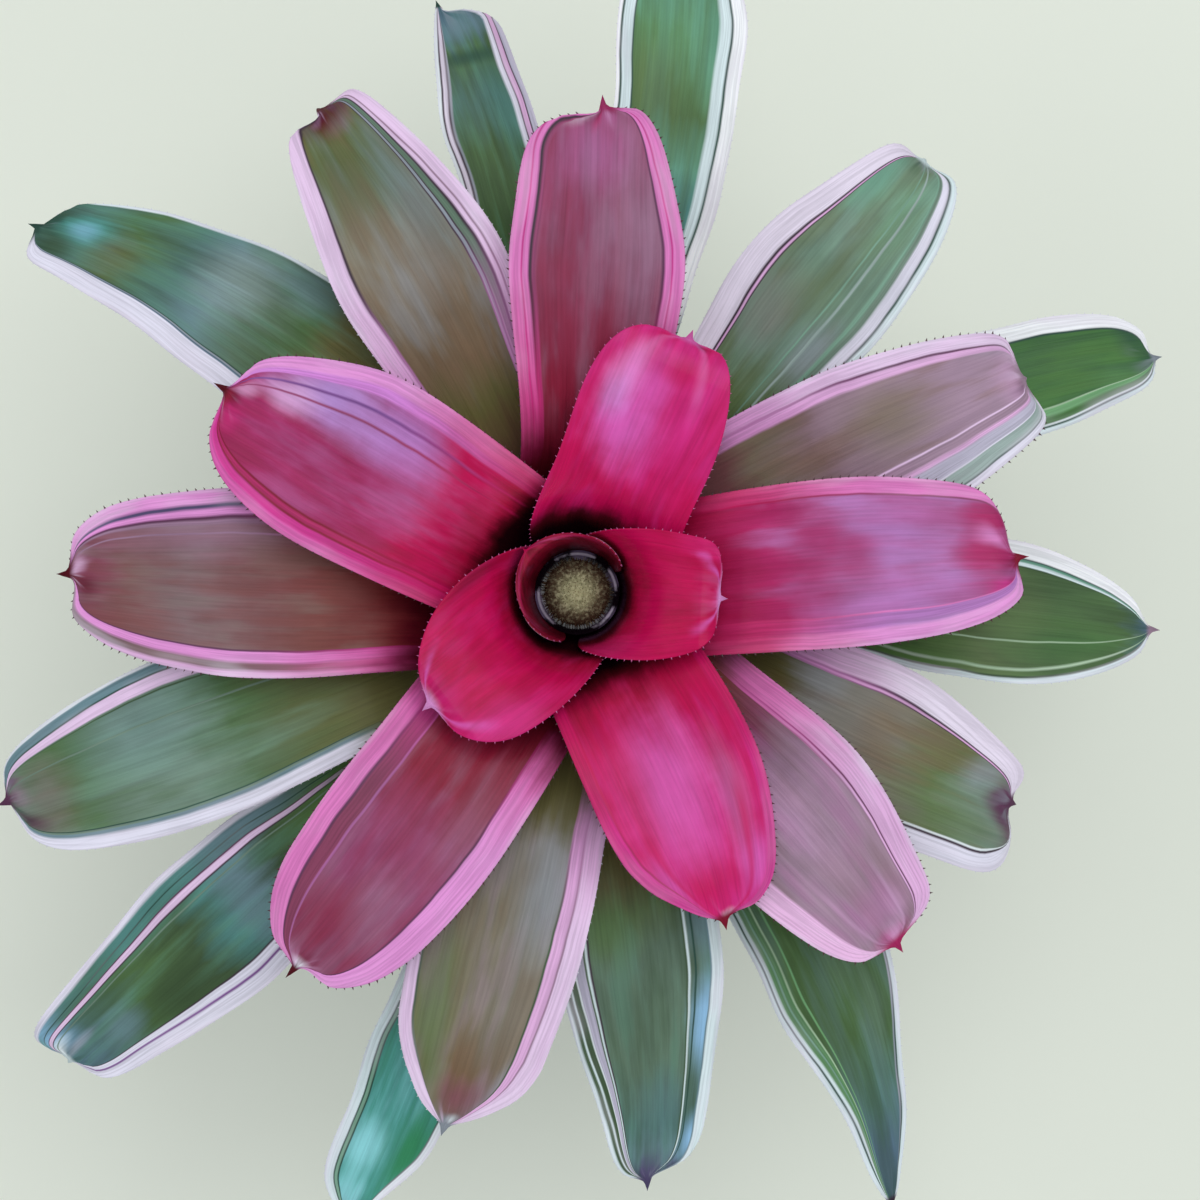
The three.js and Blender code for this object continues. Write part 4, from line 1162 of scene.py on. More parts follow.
    def surface(self, along, across):
        """Points in the middle of the blade's thickness, as an array of rows and columns."""
        aside = across * self.half_width(along, across)
        share = aside / self.half

        # The lobes at the tip stand forward of its middle.
        near_tip = 1 - smooth_step(self.length - along, 0, LOBE_LENGTH * self.half)
        lobe = np.where(across > 0, self.lobe, self.fellow) * smooth_step(abs(share), 0.05, 0.5)
        shifted = along + lobe * near_tip
        on_line = np.minimum(shifted, self.curl_start)
        radius = self.radius_at(shifted)

        # In the funnel the blade follows a circle round the axis; further out it lies flat
        # across its midline, on the bowl that the midline sweeps out.
        opened = smooth_step(radius, 0.95 * self.throat, 2 * self.throat)
        bowl = radius + (np.hypot(radius, aside) - radius) * opened
        swing = aside / radius + (np.arctan2(aside, radius) - aside / radius) * opened
        on_bowl = np.interp(bowl, self.radii, self.heights)
        on_funnel = np.interp(on_line, self.walked, self.heights) + 0 * bowl
        level = np.where(opened > 0, on_bowl, on_funnel)

        # The end of the blade rolls down, more in the middle than at the edges, and most
        # hard points jut out level from where it ends.
        beyond = np.maximum(0, shifted - self.curl_start)
        tucked = self.rank in TUCKED_POINTS
        jut = np.maximum(0, along - self.length + self.point) * (not tucked)
        bend = self.turn * (1 - CURL_EASING * share ** 2) / self.curl_length
        x = bowl * np.cos(swing) + np.sin(bend * (beyond - jut)) / bend + jut
        y = bowl * np.sin(swing)
        z = level - (1 - np.cos(bend * (beyond - jut))) / bend + self.channel * share ** 2 * opened

        outward = np.hypot(x, y)
        out_share = np.maximum(0, (outward - self.throat) / (self.reach - self.throat))
        heading = np.arctan2(y, x) + np.radians(self.azimuth + self.sweep * out_share ** 2)
        return np.stack([outward * np.cos(heading), outward * np.sin(heading), z], -1)


def unit(vectors):
    """The vectors at length 1."""
    return vectors / np.maximum(np.linalg.norm(vectors, axis=-1, keepdims=True), 1e-12)


def edge_distances(blade, along, across):
    """How far each point lies from the right edge and from the left, in millimetres.

    The scale shrinks towards the tip, so that bands laid out by it run together there.
    Away from an edge it turns into a share of the width, so that lines run to the tip.
    """
    outline = blade.length * (1 - np.linspace(1, 0, OUTLINE_STEPS) ** 2)
    aside = across * blade.half_width(along, across)
    to_tip = np.clip((blade.length - along) / GATHERING, 0, 1)
    narrowing = NARROWEST + (1 - NARROWEST) * (1 - (1 - to_tip) ** 2)
    distances = []
    for side in (-1, 1):
        edge = side * blade.half_width(outline, side, bitten=False)
        gaps = np.hypot(along[..., None] - outline, aside[..., None] - edge)
        near = gaps.min(-1) / narrowing
        inward = blade.half * (1 - side * across)
        turning = smooth_step(inward, PARALLEL_FROM, TO_TIP_FROM)
        distances.append(near + (inward - near) * turning)
    return distances


def ringed(upper):
    """Values on a blade's upper face, carried round its rims and its lower face."""
    return np.concatenate([upper[:, :1], upper, upper[:, -1:], upper[:, ::-1]], axis=1)


def add_corner_map(mesh, name, first, second):
    """A UV map from two values at every vertex."""
    corners = np.zeros(len(mesh.loops), np.int32)
    mesh.loops.foreach_get("vertex_index", corners)
    values = np.stack([first.ravel(), second.ravel()], -1)[corners]
    mesh.uv_layers.new(name=name).uv.foreach_set("vector", values.astype(np.float32).ravel())


def add_attribute(mesh, name, kind, values):
    """A named value at every vertex."""
    field = "vector" if kind == "FLOAT_VECTOR" else "value"
    mesh.attributes.new(name, kind, "POINT").data.foreach_set(field, values.ravel())


def blade_faces(rows, columns):
    """Faces of a blade's rings: quads along it, and strips that close both of its ends."""
    ring_size = 2 * columns + 4
    first = np.arange(rows)[:, None] * ring_size
    here = np.arange(ring_size)[None, :]
    beside = (here + 1) % ring_size
    quads = (first + here, first + ring_size + here, first + ring_size + beside, first + beside)
    faces = np.stack(quads, -1).reshape(-1, 4).tolist()
    for start, flip in ((0, False), (rows * ring_size, True)):
        for i in range(columns + 2):
            low = (ring_size - i) % ring_size
            corners = [start + i, start + i + 1, start + ring_size - i - 1, start + low]
            corners = list(dict.fromkeys(corners))
            if len(corners) > 2:
                faces.append(corners[::-1] if flip else corners)
    return faces


def blade_rings(blade, along, across, settings):
    """Rings of points round a blade, one for each row, and where its two edges point.

    Each ring holds the right rim, the upper face, the left rim and the lower face.
    """
    middle = blade.surface(along, across)
    here = np.clip(along, SLOPE_STEP, along.max() - SLOPE_STEP)
    inside = np.clip(across, SLOPE_SHARE - 1, 1 - SLOPE_SHARE)
    lengthways = blade.surface(here + SLOPE_STEP, inside) - blade.surface(here - SLOPE_STEP, inside)
    sideways = blade.surface(here, inside + SLOPE_SHARE) - blade.surface(here, inside - SLOPE_SHARE)
    normal = unit(np.cross(lengthways, sideways))

    # The blade is thicker along its middle, and thins out to its hard point.
    open_blade = smooth_step(blade.radius_at(along), blade.throat, 2 * blade.throat)
    edge, thick = settings.edge_thickness / MM, settings.middle_thickness / MM
    thickness = edge + (thick - edge) * open_blade * (1 - across ** 2)
    thickness = thickness * smooth_step(blade.length - along, -0.5, 2.5)
    half = thickness[..., None] / 2
    outward = unit(middle[:, [0, -1]] - middle[:, [1, -2]])
    rim = middle[:, [0, -1]] + outward * half[:, [0, -1]] * RIM_ROUNDING
    upper = middle + normal * half
    lower = middle - normal * half
    return np.concatenate([rim[:, :1], upper, rim[:, 1:], lower[:, ::-1]], axis=1), outward


def blade_mesh(name, blade, settings):
    """The closed blade with its own maps, and marks for the spines along its edges."""
    rows, columns = settings.rows, settings.columns
    along = (blade.length - END_GAP) * (1 - np.linspace(1, 0, rows + 1) ** ROW_CROWDING)[:, None]
    across = np.sin(np.linspace(-1, 1, columns + 1) * math.pi / 2 * COLUMN_CROWDING)[None, :]
    across = across / across.max()
    rings, outward = blade_rings(blade, along, across, settings)
    mesh = bpy.data.meshes.new(name)
    mesh.from_pydata((rings.reshape(-1, 3) * MM).tolist(), [], blade_faces(rows, columns))
    mesh.update()

    lengthways = ringed(along / blade.length + 0 * across)
    add_corner_map(mesh, "blade", ringed((across + 1) / 2 + 0 * along), lengthways)
    parallel = across * blade.half_width(along, across) / blade.unrounded(along)
    add_corner_map(mesh, "grain", ringed((parallel + 1) / 2), lengthways)
    distances = [ringed(gaps) / EDGE_REACH for gaps in edge_distances(blade, along, across)]
    add_corner_map(mesh, "edges", *distances)

    left_rim = columns + 2
    underside = np.zeros(rings.shape[:2], np.float32)
    underside[:, left_rim + 1:] = 1
    margin = np.zeros(rings.shape[:2], bool)
    aim = np.zeros(rings.shape, np.float32)
    to_tip = blade.length - along[:, 0]
    open_blade = blade.radius_at(along[:, 0]) > SPINES_FROM * blade.throat
    for side, column in enumerate((0, left_rim)):
        margin[:, column] = open_blade & (to_tip > blade.point + blade.bite[1 - side])
        aim[:, column] = outward[:, side]
    add_attribute(mesh, "underside", "FLOAT", underside)
    add_attribute(mesh, "margin", "BOOLEAN", margin)
    add_attribute(mesh, "aim", "FLOAT_VECTOR", aim)
    shade_smooth(mesh, 60)
    return mesh


# ------------------------------------------------------------------------ leaf materials


def band_stops(bands):
    """Ramp stops for a margin's bands; their alpha is 0 where the ground shows."""
    stops = []
    start = 0
    for (width, name), (wide_beyond, beyond) in zip(bands, (*bands[1:], (2, ""))):
        start += width
        soft = min(0.5, 0.35 * width, 0.35 * wide_beyond)
        colour = tint(name or beyond)[:3] + [1.0 if name else 0.0]
        after = tint(beyond or name)[:3] + [1.0 if beyond else 0.0]
        stops += [((start - soft) / EDGE_REACH, colour), ((start + soft) / EDGE_REACH, after)]
    return stops


def ground_colour(tree, look, blade_map, grain, place, open_blade):
    """The blade between its margins: its tones, mottle, patches and last part, in strands, with
    painted shade in the funnel and painted highlights and shade among the patches.
    """
    tones = ramp(tree, place, [(start, tint(name)) for start, name in look["ground"]])
    colour = out(tones, "Color")
    for side, name, strength in zip(("Dark", "Light"), look["mottle"], MOTTLE):
        mask = product(tree, grain[side], strength, open_blade)
        colour = mix_colour(tree, mask, colour, tint(name))
    # Patches: the leaf's own tones, and painted highlights, reflections, glints and shade.
    for u, v, broad, long, strength, name in look.get("patches", ()):
        patch = use_group(tree, "Waxy Bloom", Blade=blade_map, Centre=(u, v, 0),
                          Size=(broad, long, 1), Strand=grain["Strand"], Cloud=grain["Cloud"])
        colour = mix_colour(tree, product(tree, patch["Mask"], strength), colour, tint(name))
    if "tip" in look:
        name, share = look["tip"]
        mask = map_range(tree, place, 1 - 1.7 * share, 1 - 0.5 * share)
        colour = mix_colour(tree, mask, colour, tint(name))
    colour = shaded(tree, colour, grain["Streak"], contrast=0.3, middle=1.0)
    return shaded(tree, colour, grain["Strand"], contrast=0.4, middle=1.0)


def with_lip(tree, colour, lip, distances, place):
    """The colour with a soft line over it that follows the blade's outline, on most leaves a
    painted highlight along a ridge.
    """
    inset, half_line, start, strength, name = lip
    line, low, high = (
        value / EDGE_REACH for value in (inset, inset - half_line, inset + half_line))
    nearest = maths(tree, "MINIMUM", *distances)
    rise = map_range(tree, nearest, low, line)
    fall = map_range(tree, nearest, line, high, strength, 0.0)
    begin = map_range(tree, place, start, start + 0.1)
    return mix_colour(tree, product(tree, rise, fall, begin), colour, tint(name))


def with_margin(tree, colour, blade, bands, distance, along, place, start):
    """The colour with one margin over it, laid out by the distance from its own edge, painted
    highlights included.
    """
    look = LEAF_LOOKS[blade.rank]
    tones = ramp(tree, distance, band_stops(bands))
    margin = out(tones, "Color")
    unflushed = 1.0
    if "flush" in look:
        name, end = look["flush"]
        unflushed = map_range(tree, place, end - FLUSH_FADE, end + FLUSH_FADE, 0.1, 1.0)
        margin = mix_colour(tree, unflushed, tint(name), margin)
    veins = use_group(tree, "Edge Veins", Distance=distance, Along=along,
                      Seed=blade.rank * VEIN_SEED)
    margin = shaded(tree, margin, veins["Vein"], contrast=0.22, middle=0.96)
    # Painted highlights: soft pale lights near the edge and a pale line along the rim, in opal.
    light, rim = by_rank(MARGIN_HIGHLIGHTS, blade.rank)
    outer = map_range(tree, distance, 2 / EDGE_REACH, 7 / EDGE_REACH, light, 0.0)
    pale = maths(tree, "MULTIPLY_ADD", veins["Light"], outer, product(tree, veins["Rim"], rim))
    margin = mix_colour(tree, product(tree, pale, unflushed), margin, tint("opal"))
    return mix_colour(tree, product(tree, out(tones, "Alpha"), start), colour, margin)


def leaf_material(blade):
    """A leaf's own material, laid out on its maps by what its row of looks says."""
    look = LEAF_LOOKS[blade.rank]
    material, tree, shader = new_material(
        f"leaf_rank_{blade.rank:02d}", Specular_IOR_Level=0.08, Coat_Weight=0.08,
        Coat_Roughness=0.2)
    blade_map, edge_map, grain_map = (
        out(add_node(tree, "ShaderNodeUVMap", uv_map=name)) for name in ("blade", "edges", "grain"))
    grain = use_group(tree, "Blade Grain", Blade=grain_map, Seed=blade.rank * GRAIN_SEED,
                      Streaks=40.0 + blade.half)
    folds = use_group(tree, "Tip Folds", Blade=blade_map, Seed=blade.rank * FOLD_SEED,
                      Length=FOLD_LENGTH / blade.length)
    along = separated(tree, blade_map)[1]

    # Tones change at places along the blade, in strands of uneven length.
    place = along
    for noise, drift in (("Strand", STRAND_DRIFT), ("Cloud", CLOUD_DRIFT)):
        shift = maths(tree, "MULTIPLY_ADD", grain[noise], drift, -drift / 2)
        place = maths(tree, "ADD", place, shift)
    opening = min(look["ground"][0][0], LAST_OPENING)
    open_blade = map_range(tree, place, opening + 0.04, opening + 0.2)
    colour = ground_colour(tree, look, blade_map, grain, place, open_blade)
    # The creases at the tip get painted highlights and painted shade; their relief comes from the
    # bump below.
    highlight_name, shade_name, strength = by_rank(FOLD_LIGHT_AND_SHADE, blade.rank)
    colour = mix_colour(tree, product(tree, folds["Light"], strength), colour, tint(highlight_name))
    colour = mix_colour(tree, product(tree, folds["Dark"], FOLD_SHADE), colour, tint(shade_name))

    # The margins die out in the funnel.
    distances = separated(tree, edge_map)
    if "lip" in look:
        colour = with_lip(tree, colour, look["lip"], distances, place)
    start = map_range(tree, place, opening, opening + 0.12)
    for side, distance in zip(("right", "left"), distances):
        if side in look:
            distance = maths(tree, "ADD", distance, grain["Wander"])
            colour = with_margin(tree, colour, blade, look[side], distance, along, place, start)
    colour = shaded(tree, colour, grain["Cloud"], contrast=0.3, middle=1.06)
    colour = shaded(tree, colour, grain["Streak"], contrast=0.16, middle=1.08)
    point = blade.point / blade.length
    mask = map_range(tree, along, 1 - 1.5 * point, 1 - 0.9 * point)
    colour = mix_colour(tree, mask, colour, tint(look["point"]))

    # The underside is duller, with silvery scales in broken bands.
    underside = add_node(tree, "ShaderNodeAttribute", attribute_name="underside").outputs["Fac"]
    scales = map_range(tree, grain["Streak"], 0.4, 0.62, 0.2, 0.36)
    below = mix_colour(tree, 0.5, colour, tint(*by_rank(UNDERSIDES, blade.rank)))
    below = mix_colour(tree, scales, below, tint("pearl"))
    colour = mix_colour(tree, product(tree, underside, 0.85), colour, below)
    tree.links.new(colour, shader.inputs["Base Color"])
    rough = maths(tree, "MULTIPLY_ADD", grain["Cloud"], 0.25, 0.3)
    rough = maths(tree, "MULTIPLY_ADD", underside, 0.25, rough)
    tree.links.new(rough, shader.inputs["Roughness"])
    relief = maths(tree, "MULTIPLY_ADD", grain["Strand"], 2.0, grain["Streak"])
    relief = maths(tree, "MULTIPLY_ADD", folds["Height"], 2.5, relief)
    roughened(tree, shader, relief, strength=0.5, depth=0.35 * MM)
    return material


def spine_material(name, first, second):
    """Horn of two colours in blotches."""
    material, tree, shader = new_material(name, Roughness=0.5)
    grit = use_group(tree, "Grit", Fine=1500.0, Coarse=200.0)
    colour = mix_colour(tree, grit["Blotch"], tint(first), tint(second))
    tree.links.new(colour, shader.inputs["Base Color"])
    return material


def spine_tree():
    """Geometry Nodes: a forward-leaning spine at every step along a blade's marked edges."""
    tree, given, result = new_group(
        "Edge Spines",
        [("Blade", "Geometry"), ("Pitch", "Float"), ("Length", "Float"), ("Radius", "Float"),
         ("Material", "Material"), ("Seed", "Int")],
        [("Spiny Blade", "Geometry")], "GeometryNodeTree")
    margin, aim = (
        out(add_node(tree, "GeometryNodeInputNamedAttribute", {"Name": name}, data_type=kind))
        for name, kind in (("margin", "BOOLEAN"), ("aim", "FLOAT_VECTOR")))
    curve = add_node(tree, "GeometryNodeMeshToCurve", {"Mesh": given["Blade"], "Selection": margin})
    roots = add_node(tree, "GeometryNodeCurveToPoints",
                     {"Curve": out(curve), "Length": given["Pitch"]}, mode="LENGTH")
    forward = vector_maths(tree, "SCALE", {0: out(roots, "Tangent"), "Scale": 0.6})
    lean = vector_maths(tree, "ADD", {0: aim, 1: out(forward)})
    turn = add_node(tree, "FunctionNodeAlignRotationToVector", {"Vector": out(lean)}, axis="Z")
    cone = add_node(tree, "GeometryNodeMeshCone", {
        "Vertices": 5, "Radius Bottom": given["Radius"], "Depth": given["Length"]})
    spines = placed_copies(tree, out(cone, "Mesh"), out(roots, "Points"), out(turn),
                           random_value(tree, 0.65, 1.15, given["Seed"]))
    spines = with_material(tree, spines, given["Material"])
    tree.links.new(joined(tree, given["Blade"], spines), result["Spiny Blade"])
    return tree


class BROMELIAD_OT_leaves(bpy.types.Operator):
    """Builds the blades of the rosette with their spines, one piece for each leaf"""
    bl_idname = "bromeliad.leaves"
    bl_label = "Leaves"

    def execute(self, context):
        settings = context.scene.bromeliad_leaves
        tree = spine_tree()
        spines = {name: spine_material(name, *tints) for _, name, *tints, _ in SPINES}
        for number, row in enumerate(LEAF_ROWS, 1):
            blade = Blade(row)
            name = f"blade_{number:02d}"
            piece = new_object(name, blade_mesh(name, blade, settings))
            piece.data.materials.append(leaf_material(blade))
            spine, *_, size = by_rank(SPINES, blade.rank)
            modifier = add_nodes_modifier(piece, tree, {
                "Pitch": settings.spine_pitch, "Length": settings.spine_length * size,
                "Radius": settings.spine_radius * size, "Material": spines[spine],
                "Seed": blade.rank})
            apply_modifier(piece, modifier)
            node = f"leaf_{number:02d}"
            attach(piece, node)
        return {"FINISHED"}


# ------------------------------------------------------------------- flower head and water


def head_tree():
    """Geometry Nodes: buds in golden-angle order over a dome, leaning out with radius."""
    tree, given, result = new_group(
        "Bud Spiral",
        [("Core", "Geometry"), ("Buds", "Int"), ("Dome Radius", "Float"),
         ("Dome Rise", "Float"), ("Edge Height", "Float"), ("Bud Length", "Float"),
         ("Bud Radius", "Float"), ("Material", "Material"), ("Seed", "Int")],
        [("Head", "Geometry")], "GeometryNodeTree")
    index = out(add_node(tree, "GeometryNodeInputIndex"))
    area = maths(tree, "DIVIDE", maths(tree, "ADD", index, 0.5), given["Buds"])
    share = maths(tree, "SQRT", area)
    angle = product(tree, index, GOLDEN_ANGLE)
    drop = maths(tree, "SQRT", maths(tree, "SUBTRACT", 1.0, product(tree, share, share)))
    height = maths(tree, "MULTIPLY_ADD", drop, given["Dome Rise"], given["Edge Height"])
    place = round_axis(tree, product(tree, share, given["Dome Radius"]), angle, height)
    points = add_node(tree, "GeometryNodePoints", {"Count": given["Buds"], "Position": place})
    jitter = random_value(tree, (-0.45,) * 3, (0.45,) * 3, given["Seed"])
    aim = vector_maths(tree, "ADD", {0: round_axis(tree, share, angle, 0.9), 1: jitter})
    turn = add_node(tree, "FunctionNodeAlignRotationToVector", {"Vector": out(aim)}, axis="Z")
    bud = add_node(tree, "GeometryNodeMeshCone", {
        "Vertices": 5, "Side Segments": 2, "Radius Top": product(tree, given["Bud Radius"], 0.12),
        "Radius Bottom": given["Bud Radius"], "Depth": given["Bud Length"]})
    buds = placed_copies(tree, out(bud, "Mesh"), out(points), out(turn),
                         random_value(tree, 0.75, 1.2, given["Seed"]))
    head = joined(tree, given["Core"], buds)
    tree.links.new(with_material(tree, head, given["Material"]), result["Head"])
    return tree


def distance_from_axis(tree):
    """How far the shaded point lies from the plant's axis, in metres."""
    plan = combined(tree, *separated(tree, tree.nodes.new("ShaderNodeTexCoord").outputs["Object"]))
    return out(vector_maths(tree, "LENGTH", {0: plan}), "Value")


def head_material(settings, radius):
    """Olive buds that turn dark towards the rim, with pale tips that fade outward."""
    material, tree, shader = new_material("flower_buds", Roughness=0.9, Specular_IOR_Level=0.1)
    grit = use_group(tree, "Grit", Fine=850.0, Coarse=260.0)
    uneven = maths(tree, "MULTIPLY_ADD", grit["Blotch"], 3 * MM, -1.5 * MM)
    reach = maths(tree, "ADD", distance_from_axis(tree), uneven)
    middle = list(settings.colour) + [1.0]
    inner = [c * 0.7 for c in settings.colour] + [1.0]
    colours = ramp(tree, maths(tree, "DIVIDE", reach, radius * 1.1), [
        (0.0, middle), (0.35, inner), (0.62, tint("husk")), (0.85, tint("sepia"))])
    tips = map_range(tree, grit["Speckle"], 0.45, 0.65, 0.05, 0.5)
    fading = map_range(tree, reach, radius * 0.4, radius, 1.0, 0.35)
    speckled = mix_colour(tree, product(tree, tips, fading), out(colours, "Color"), tint("straw"))
    tree.links.new(speckled, shader.inputs["Base Color"])
    return material


def water_material(outer):
    """Opaque water, near black for the painted shade of the cup below, with painted purple
    reflections, and a broken painted highlight line along its rim.
    """
    material, tree, shader = new_material(
        "tank_water", Roughness=0.12, Coat_Weight=0.15, Coat_Roughness=0.05,
        Specular_IOR_Level=0.35)
    blotch = use_group(tree, "Grit", Fine=700.0, Coarse=110.0)["Blotch"]
    # Painted purple reflections in blotches over the dark of the cup.
    lights = map_range(tree, blotch, 0.46, 0.62)
    colour = mix_colour(tree, lights, tint("tank"), tint("reflection"))
    # A broken painted highlight where the water meets the cup's wall.
    radius = distance_from_axis(tree)
    inner_side = map_range(tree, radius, outer - 1.8 * MM, outer - 1.2 * MM)
    outer_side = map_range(tree, radius, outer - 1.0 * MM, outer - 0.5 * MM, 1.0, 0.0)
    line = product(tree, inner_side, outer_side, map_range(tree, blotch, 0.45, 0.55))
    tree.links.new(mix_colour(tree, line, colour, tint("gleam")), shader.inputs["Base Color"])
    roughened(tree, shader, blotch, strength=0.1, depth=0.3 * MM)
    return material


class BROMELIAD_OT_flower_head(bpy.types.Operator):
    """Builds the flower head: a low dome of buds on its stalk"""
    bl_idname = "bromeliad.flower_head"
    bl_label = "Flower Head"

    def execute(self, context):
        settings = context.scene.bromeliad_head
        bottom, top = heights("flower_head")
        rise = top - BUD_ROOM - DOME_EDGE

        # Up the stalk and over the dome.
        section = [
            (0, bottom), (STALK, bottom), (STALK, DOME_EDGE - 3.7),
            (DOME_RADIUS - 1, DOME_EDGE - 1)]
        for angle in np.linspace(0, math.pi / 2, 9)[:-1]:
            section.append((DOME_RADIUS * math.cos(angle), DOME_EDGE + rise * math.sin(angle)))
        section.append((0, DOME_EDGE + rise))
        piece = new_object("bud_dome", turned("bud_dome", section, 48))
        modifier = add_nodes_modifier(piece, head_tree(), {
            "Buds": settings.buds, "Dome Radius": DOME_RADIUS * MM, "Dome Rise": rise * MM,
            "Edge Height": (DOME_EDGE - 1) * MM, "Bud Length": settings.bud_length,
            "Bud Radius": settings.bud_radius, "Seed": BUD_SEED,
            "Material": head_material(settings, DOME_RADIUS * MM)})
        apply_modifier(piece, modifier)
        shade_smooth(piece.data, 60)
        attach(piece, "flower_head")
        return {"FINISHED"}


class BROMELIAD_OT_tank_water(bpy.types.Operator):
    """Builds the water in the cup, drawn up a little where it meets leaf and stalk"""
    bl_idname = "bromeliad.tank_water"
    bl_label = "Tank Water"

    def execute(self, context):
        cup = Blade(LEAF_ROWS[0])
        bottom, top = heights("tank_water")

        # Out along the bottom, up the cup's wall, and back over the surface.
        section = [(WATER_HOLE, bottom)]
        for height in np.linspace(bottom, top, 8):
            section.append((np.interp(height, cup.heights, cup.radii) - WATER_GAP, height))
        outer = section[-1][0]
        for radius in np.linspace(outer, WATER_HOLE, 13)[1:]:
            at_leaf = math.exp((radius - outer) / MENISCUS_WIDTH)
            at_stalk = math.exp((WATER_HOLE - radius) / MENISCUS_WIDTH)
            rise = at_leaf + STALK_MENISCUS * at_stalk
            section.append((radius, top + MENISCUS * (rise - 1)))
        piece = new_object("tank_surface", turned("tank_surface", section, 96))
        piece.data.materials.append(water_material(outer * MM))
        shade_smooth(piece.data, 50)
        attach(piece, "tank_water")
        return {"FINISHED"}


# ------------------------------------------------------------------------ stem, soil, pot


def grown_material(name):
    """A dull natural surface: two colours in blotches under a fine speckle."""
    dark, pale, roughness, fine, coarse, depth = GROWN[name]
    material, tree, shader = new_material(name, Roughness=roughness)
    grit = use_group(tree, "Grit", Fine=fine, Coarse=coarse)
    colour = mix_colour(tree, grit["Blotch"], tint(dark), tint(pale))
    colour = mix_colour(tree, product(tree, grit["Speckle"], 0.4), colour, tint(dark))
    tree.links.new(colour, shader.inputs["Base Color"])
    roughened(tree, shader, grit["Speckle"], strength=0.6, depth=depth * MM)
    return material


class BROMELIAD_OT_stem(bpy.types.Operator):
    """Builds the short stem with the rings that shed leaves left on it"""
    bl_idname = "bromeliad.stem"
    bl_label = "Stem"

    def execute(self, context):
        bottom, top = heights("stem")
        feet = [line[0][0] for line in (INNER_LINE, MIDDLE_LINE, OUTER_LINE)]
        foot = feet[-1] - STEM_INSET
        section = [(0, bottom), (foot - 2, bottom), (foot, bottom + 4)]

        # Above the soil the stem narrows by the feet of the leaves, and is ringed.
        highest = SOIL_TOP + INNER_LINE[0][1]
        for height in np.linspace(SOIL_TOP - 4, highest - 1, 70):
            rank = np.interp(-height, [-highest, -SOIL_TOP - 3], [0, LAST_RANK])
            radius = np.dot(line_shares(rank), feet)
            groove = STEM_RING * (1 - abs(math.sin(height * math.pi / STEM_RING_PITCH)))
            section.append((radius - STEM_INSET - groove, height))
        section += [(feet[0] - STEM_INSET - 1, top), (0, top)]
        piece = new_object("ringed_stem", turned("ringed_stem", section, 64))
        piece.data.materials.append(grown_material("stem_tissue"))
        shade_smooth(piece.data, 50)
        attach(piece, "stem")
        return {"FINISHED"}


def litter_tree():
    """Geometry Nodes: bark chips and perlite grains strewn over the soil's upper face."""
    tree, given, result = new_group(
        "Soil Litter",
        [("Soil", "Geometry"), ("Chips", "Int"), ("Chip Size", "Float"), ("Grains", "Int"),
         ("Inner Radius", "Float"), ("Outer Radius", "Float"), ("Level", "Float"),
         ("Bark", "Material"), ("Perlite", "Material"), ("Seed", "Int")],
        [("Littered Soil", "Geometry")], "GeometryNodeTree")
    inner, outer = (
        product(tree, given[name], given[name]) for name in ("Inner Radius", "Outer Radius"))

    def strewn(count, shape, smallest, material, seed_step):
        """Copies of a shape, spread evenly over the ring of soil round the stem."""
        seeds = [maths(tree, "ADD", given["Seed"], seed_step + i) for i in range(4)]
        angle = random_value(tree, 0.0, 2 * math.pi, seeds[0])
        chance = random_value(tree, 0.0, 1.0, seeds[1])
        area = maths(tree, "MULTIPLY_ADD", chance, maths(tree, "SUBTRACT", outer, inner), inner)
        place = round_axis(tree, maths(tree, "SQRT", area), angle, given["Level"])
        points = add_node(tree, "GeometryNodePoints", {"Count": count, "Position": place})
        turn = random_value(tree, (-0.5, -0.5, 0.0), (0.5, 0.5, 6.28), seeds[2])
        size = random_value(tree, (smallest,) * 3, (1.0,) * 3, seeds[3])
        return with_material(tree, placed_copies(tree, shape, out(points), turn, size), material)

    size = given["Chip Size"]
    box = combined(tree, size, product(tree, size, 0.6), product(tree, size, 0.3))
    block = add_node(tree, "GeometryNodeMeshCube", {
        "Size": box, "Vertices X": 4, "Vertices Y": 3, "Vertices Z": 2})
    ball = add_node(tree, "GeometryNodeMeshIcoSphere", {
        "Radius": product(tree, size, 0.25), "Subdivisions": 2})
    noise = add_node(tree, "ShaderNodeTexNoise", {"Scale": 420.0})
    spread = vector_maths(tree, "SUBTRACT", {0: out(noise, "Color"), 1: (0.5, 0.5, 0.5)})
    push = out(vector_maths(tree, "SCALE", {0: out(spread), "Scale": product(tree, size, 0.5)}))
    chip, grain = (
        out(add_node(tree, "GeometryNodeSetPosition", {"Geometry": out(shape), "Offset": push}))
        for shape in (block, ball))
    bark = strewn(given["Chips"], chip, 0.35, given["Bark"], 0)
    perlite = strewn(given["Grains"], grain, 0.5, given["Perlite"], 10)
    tree.links.new(joined(tree, given["Soil"], bark, perlite), result["Littered Soil"])
    return tree


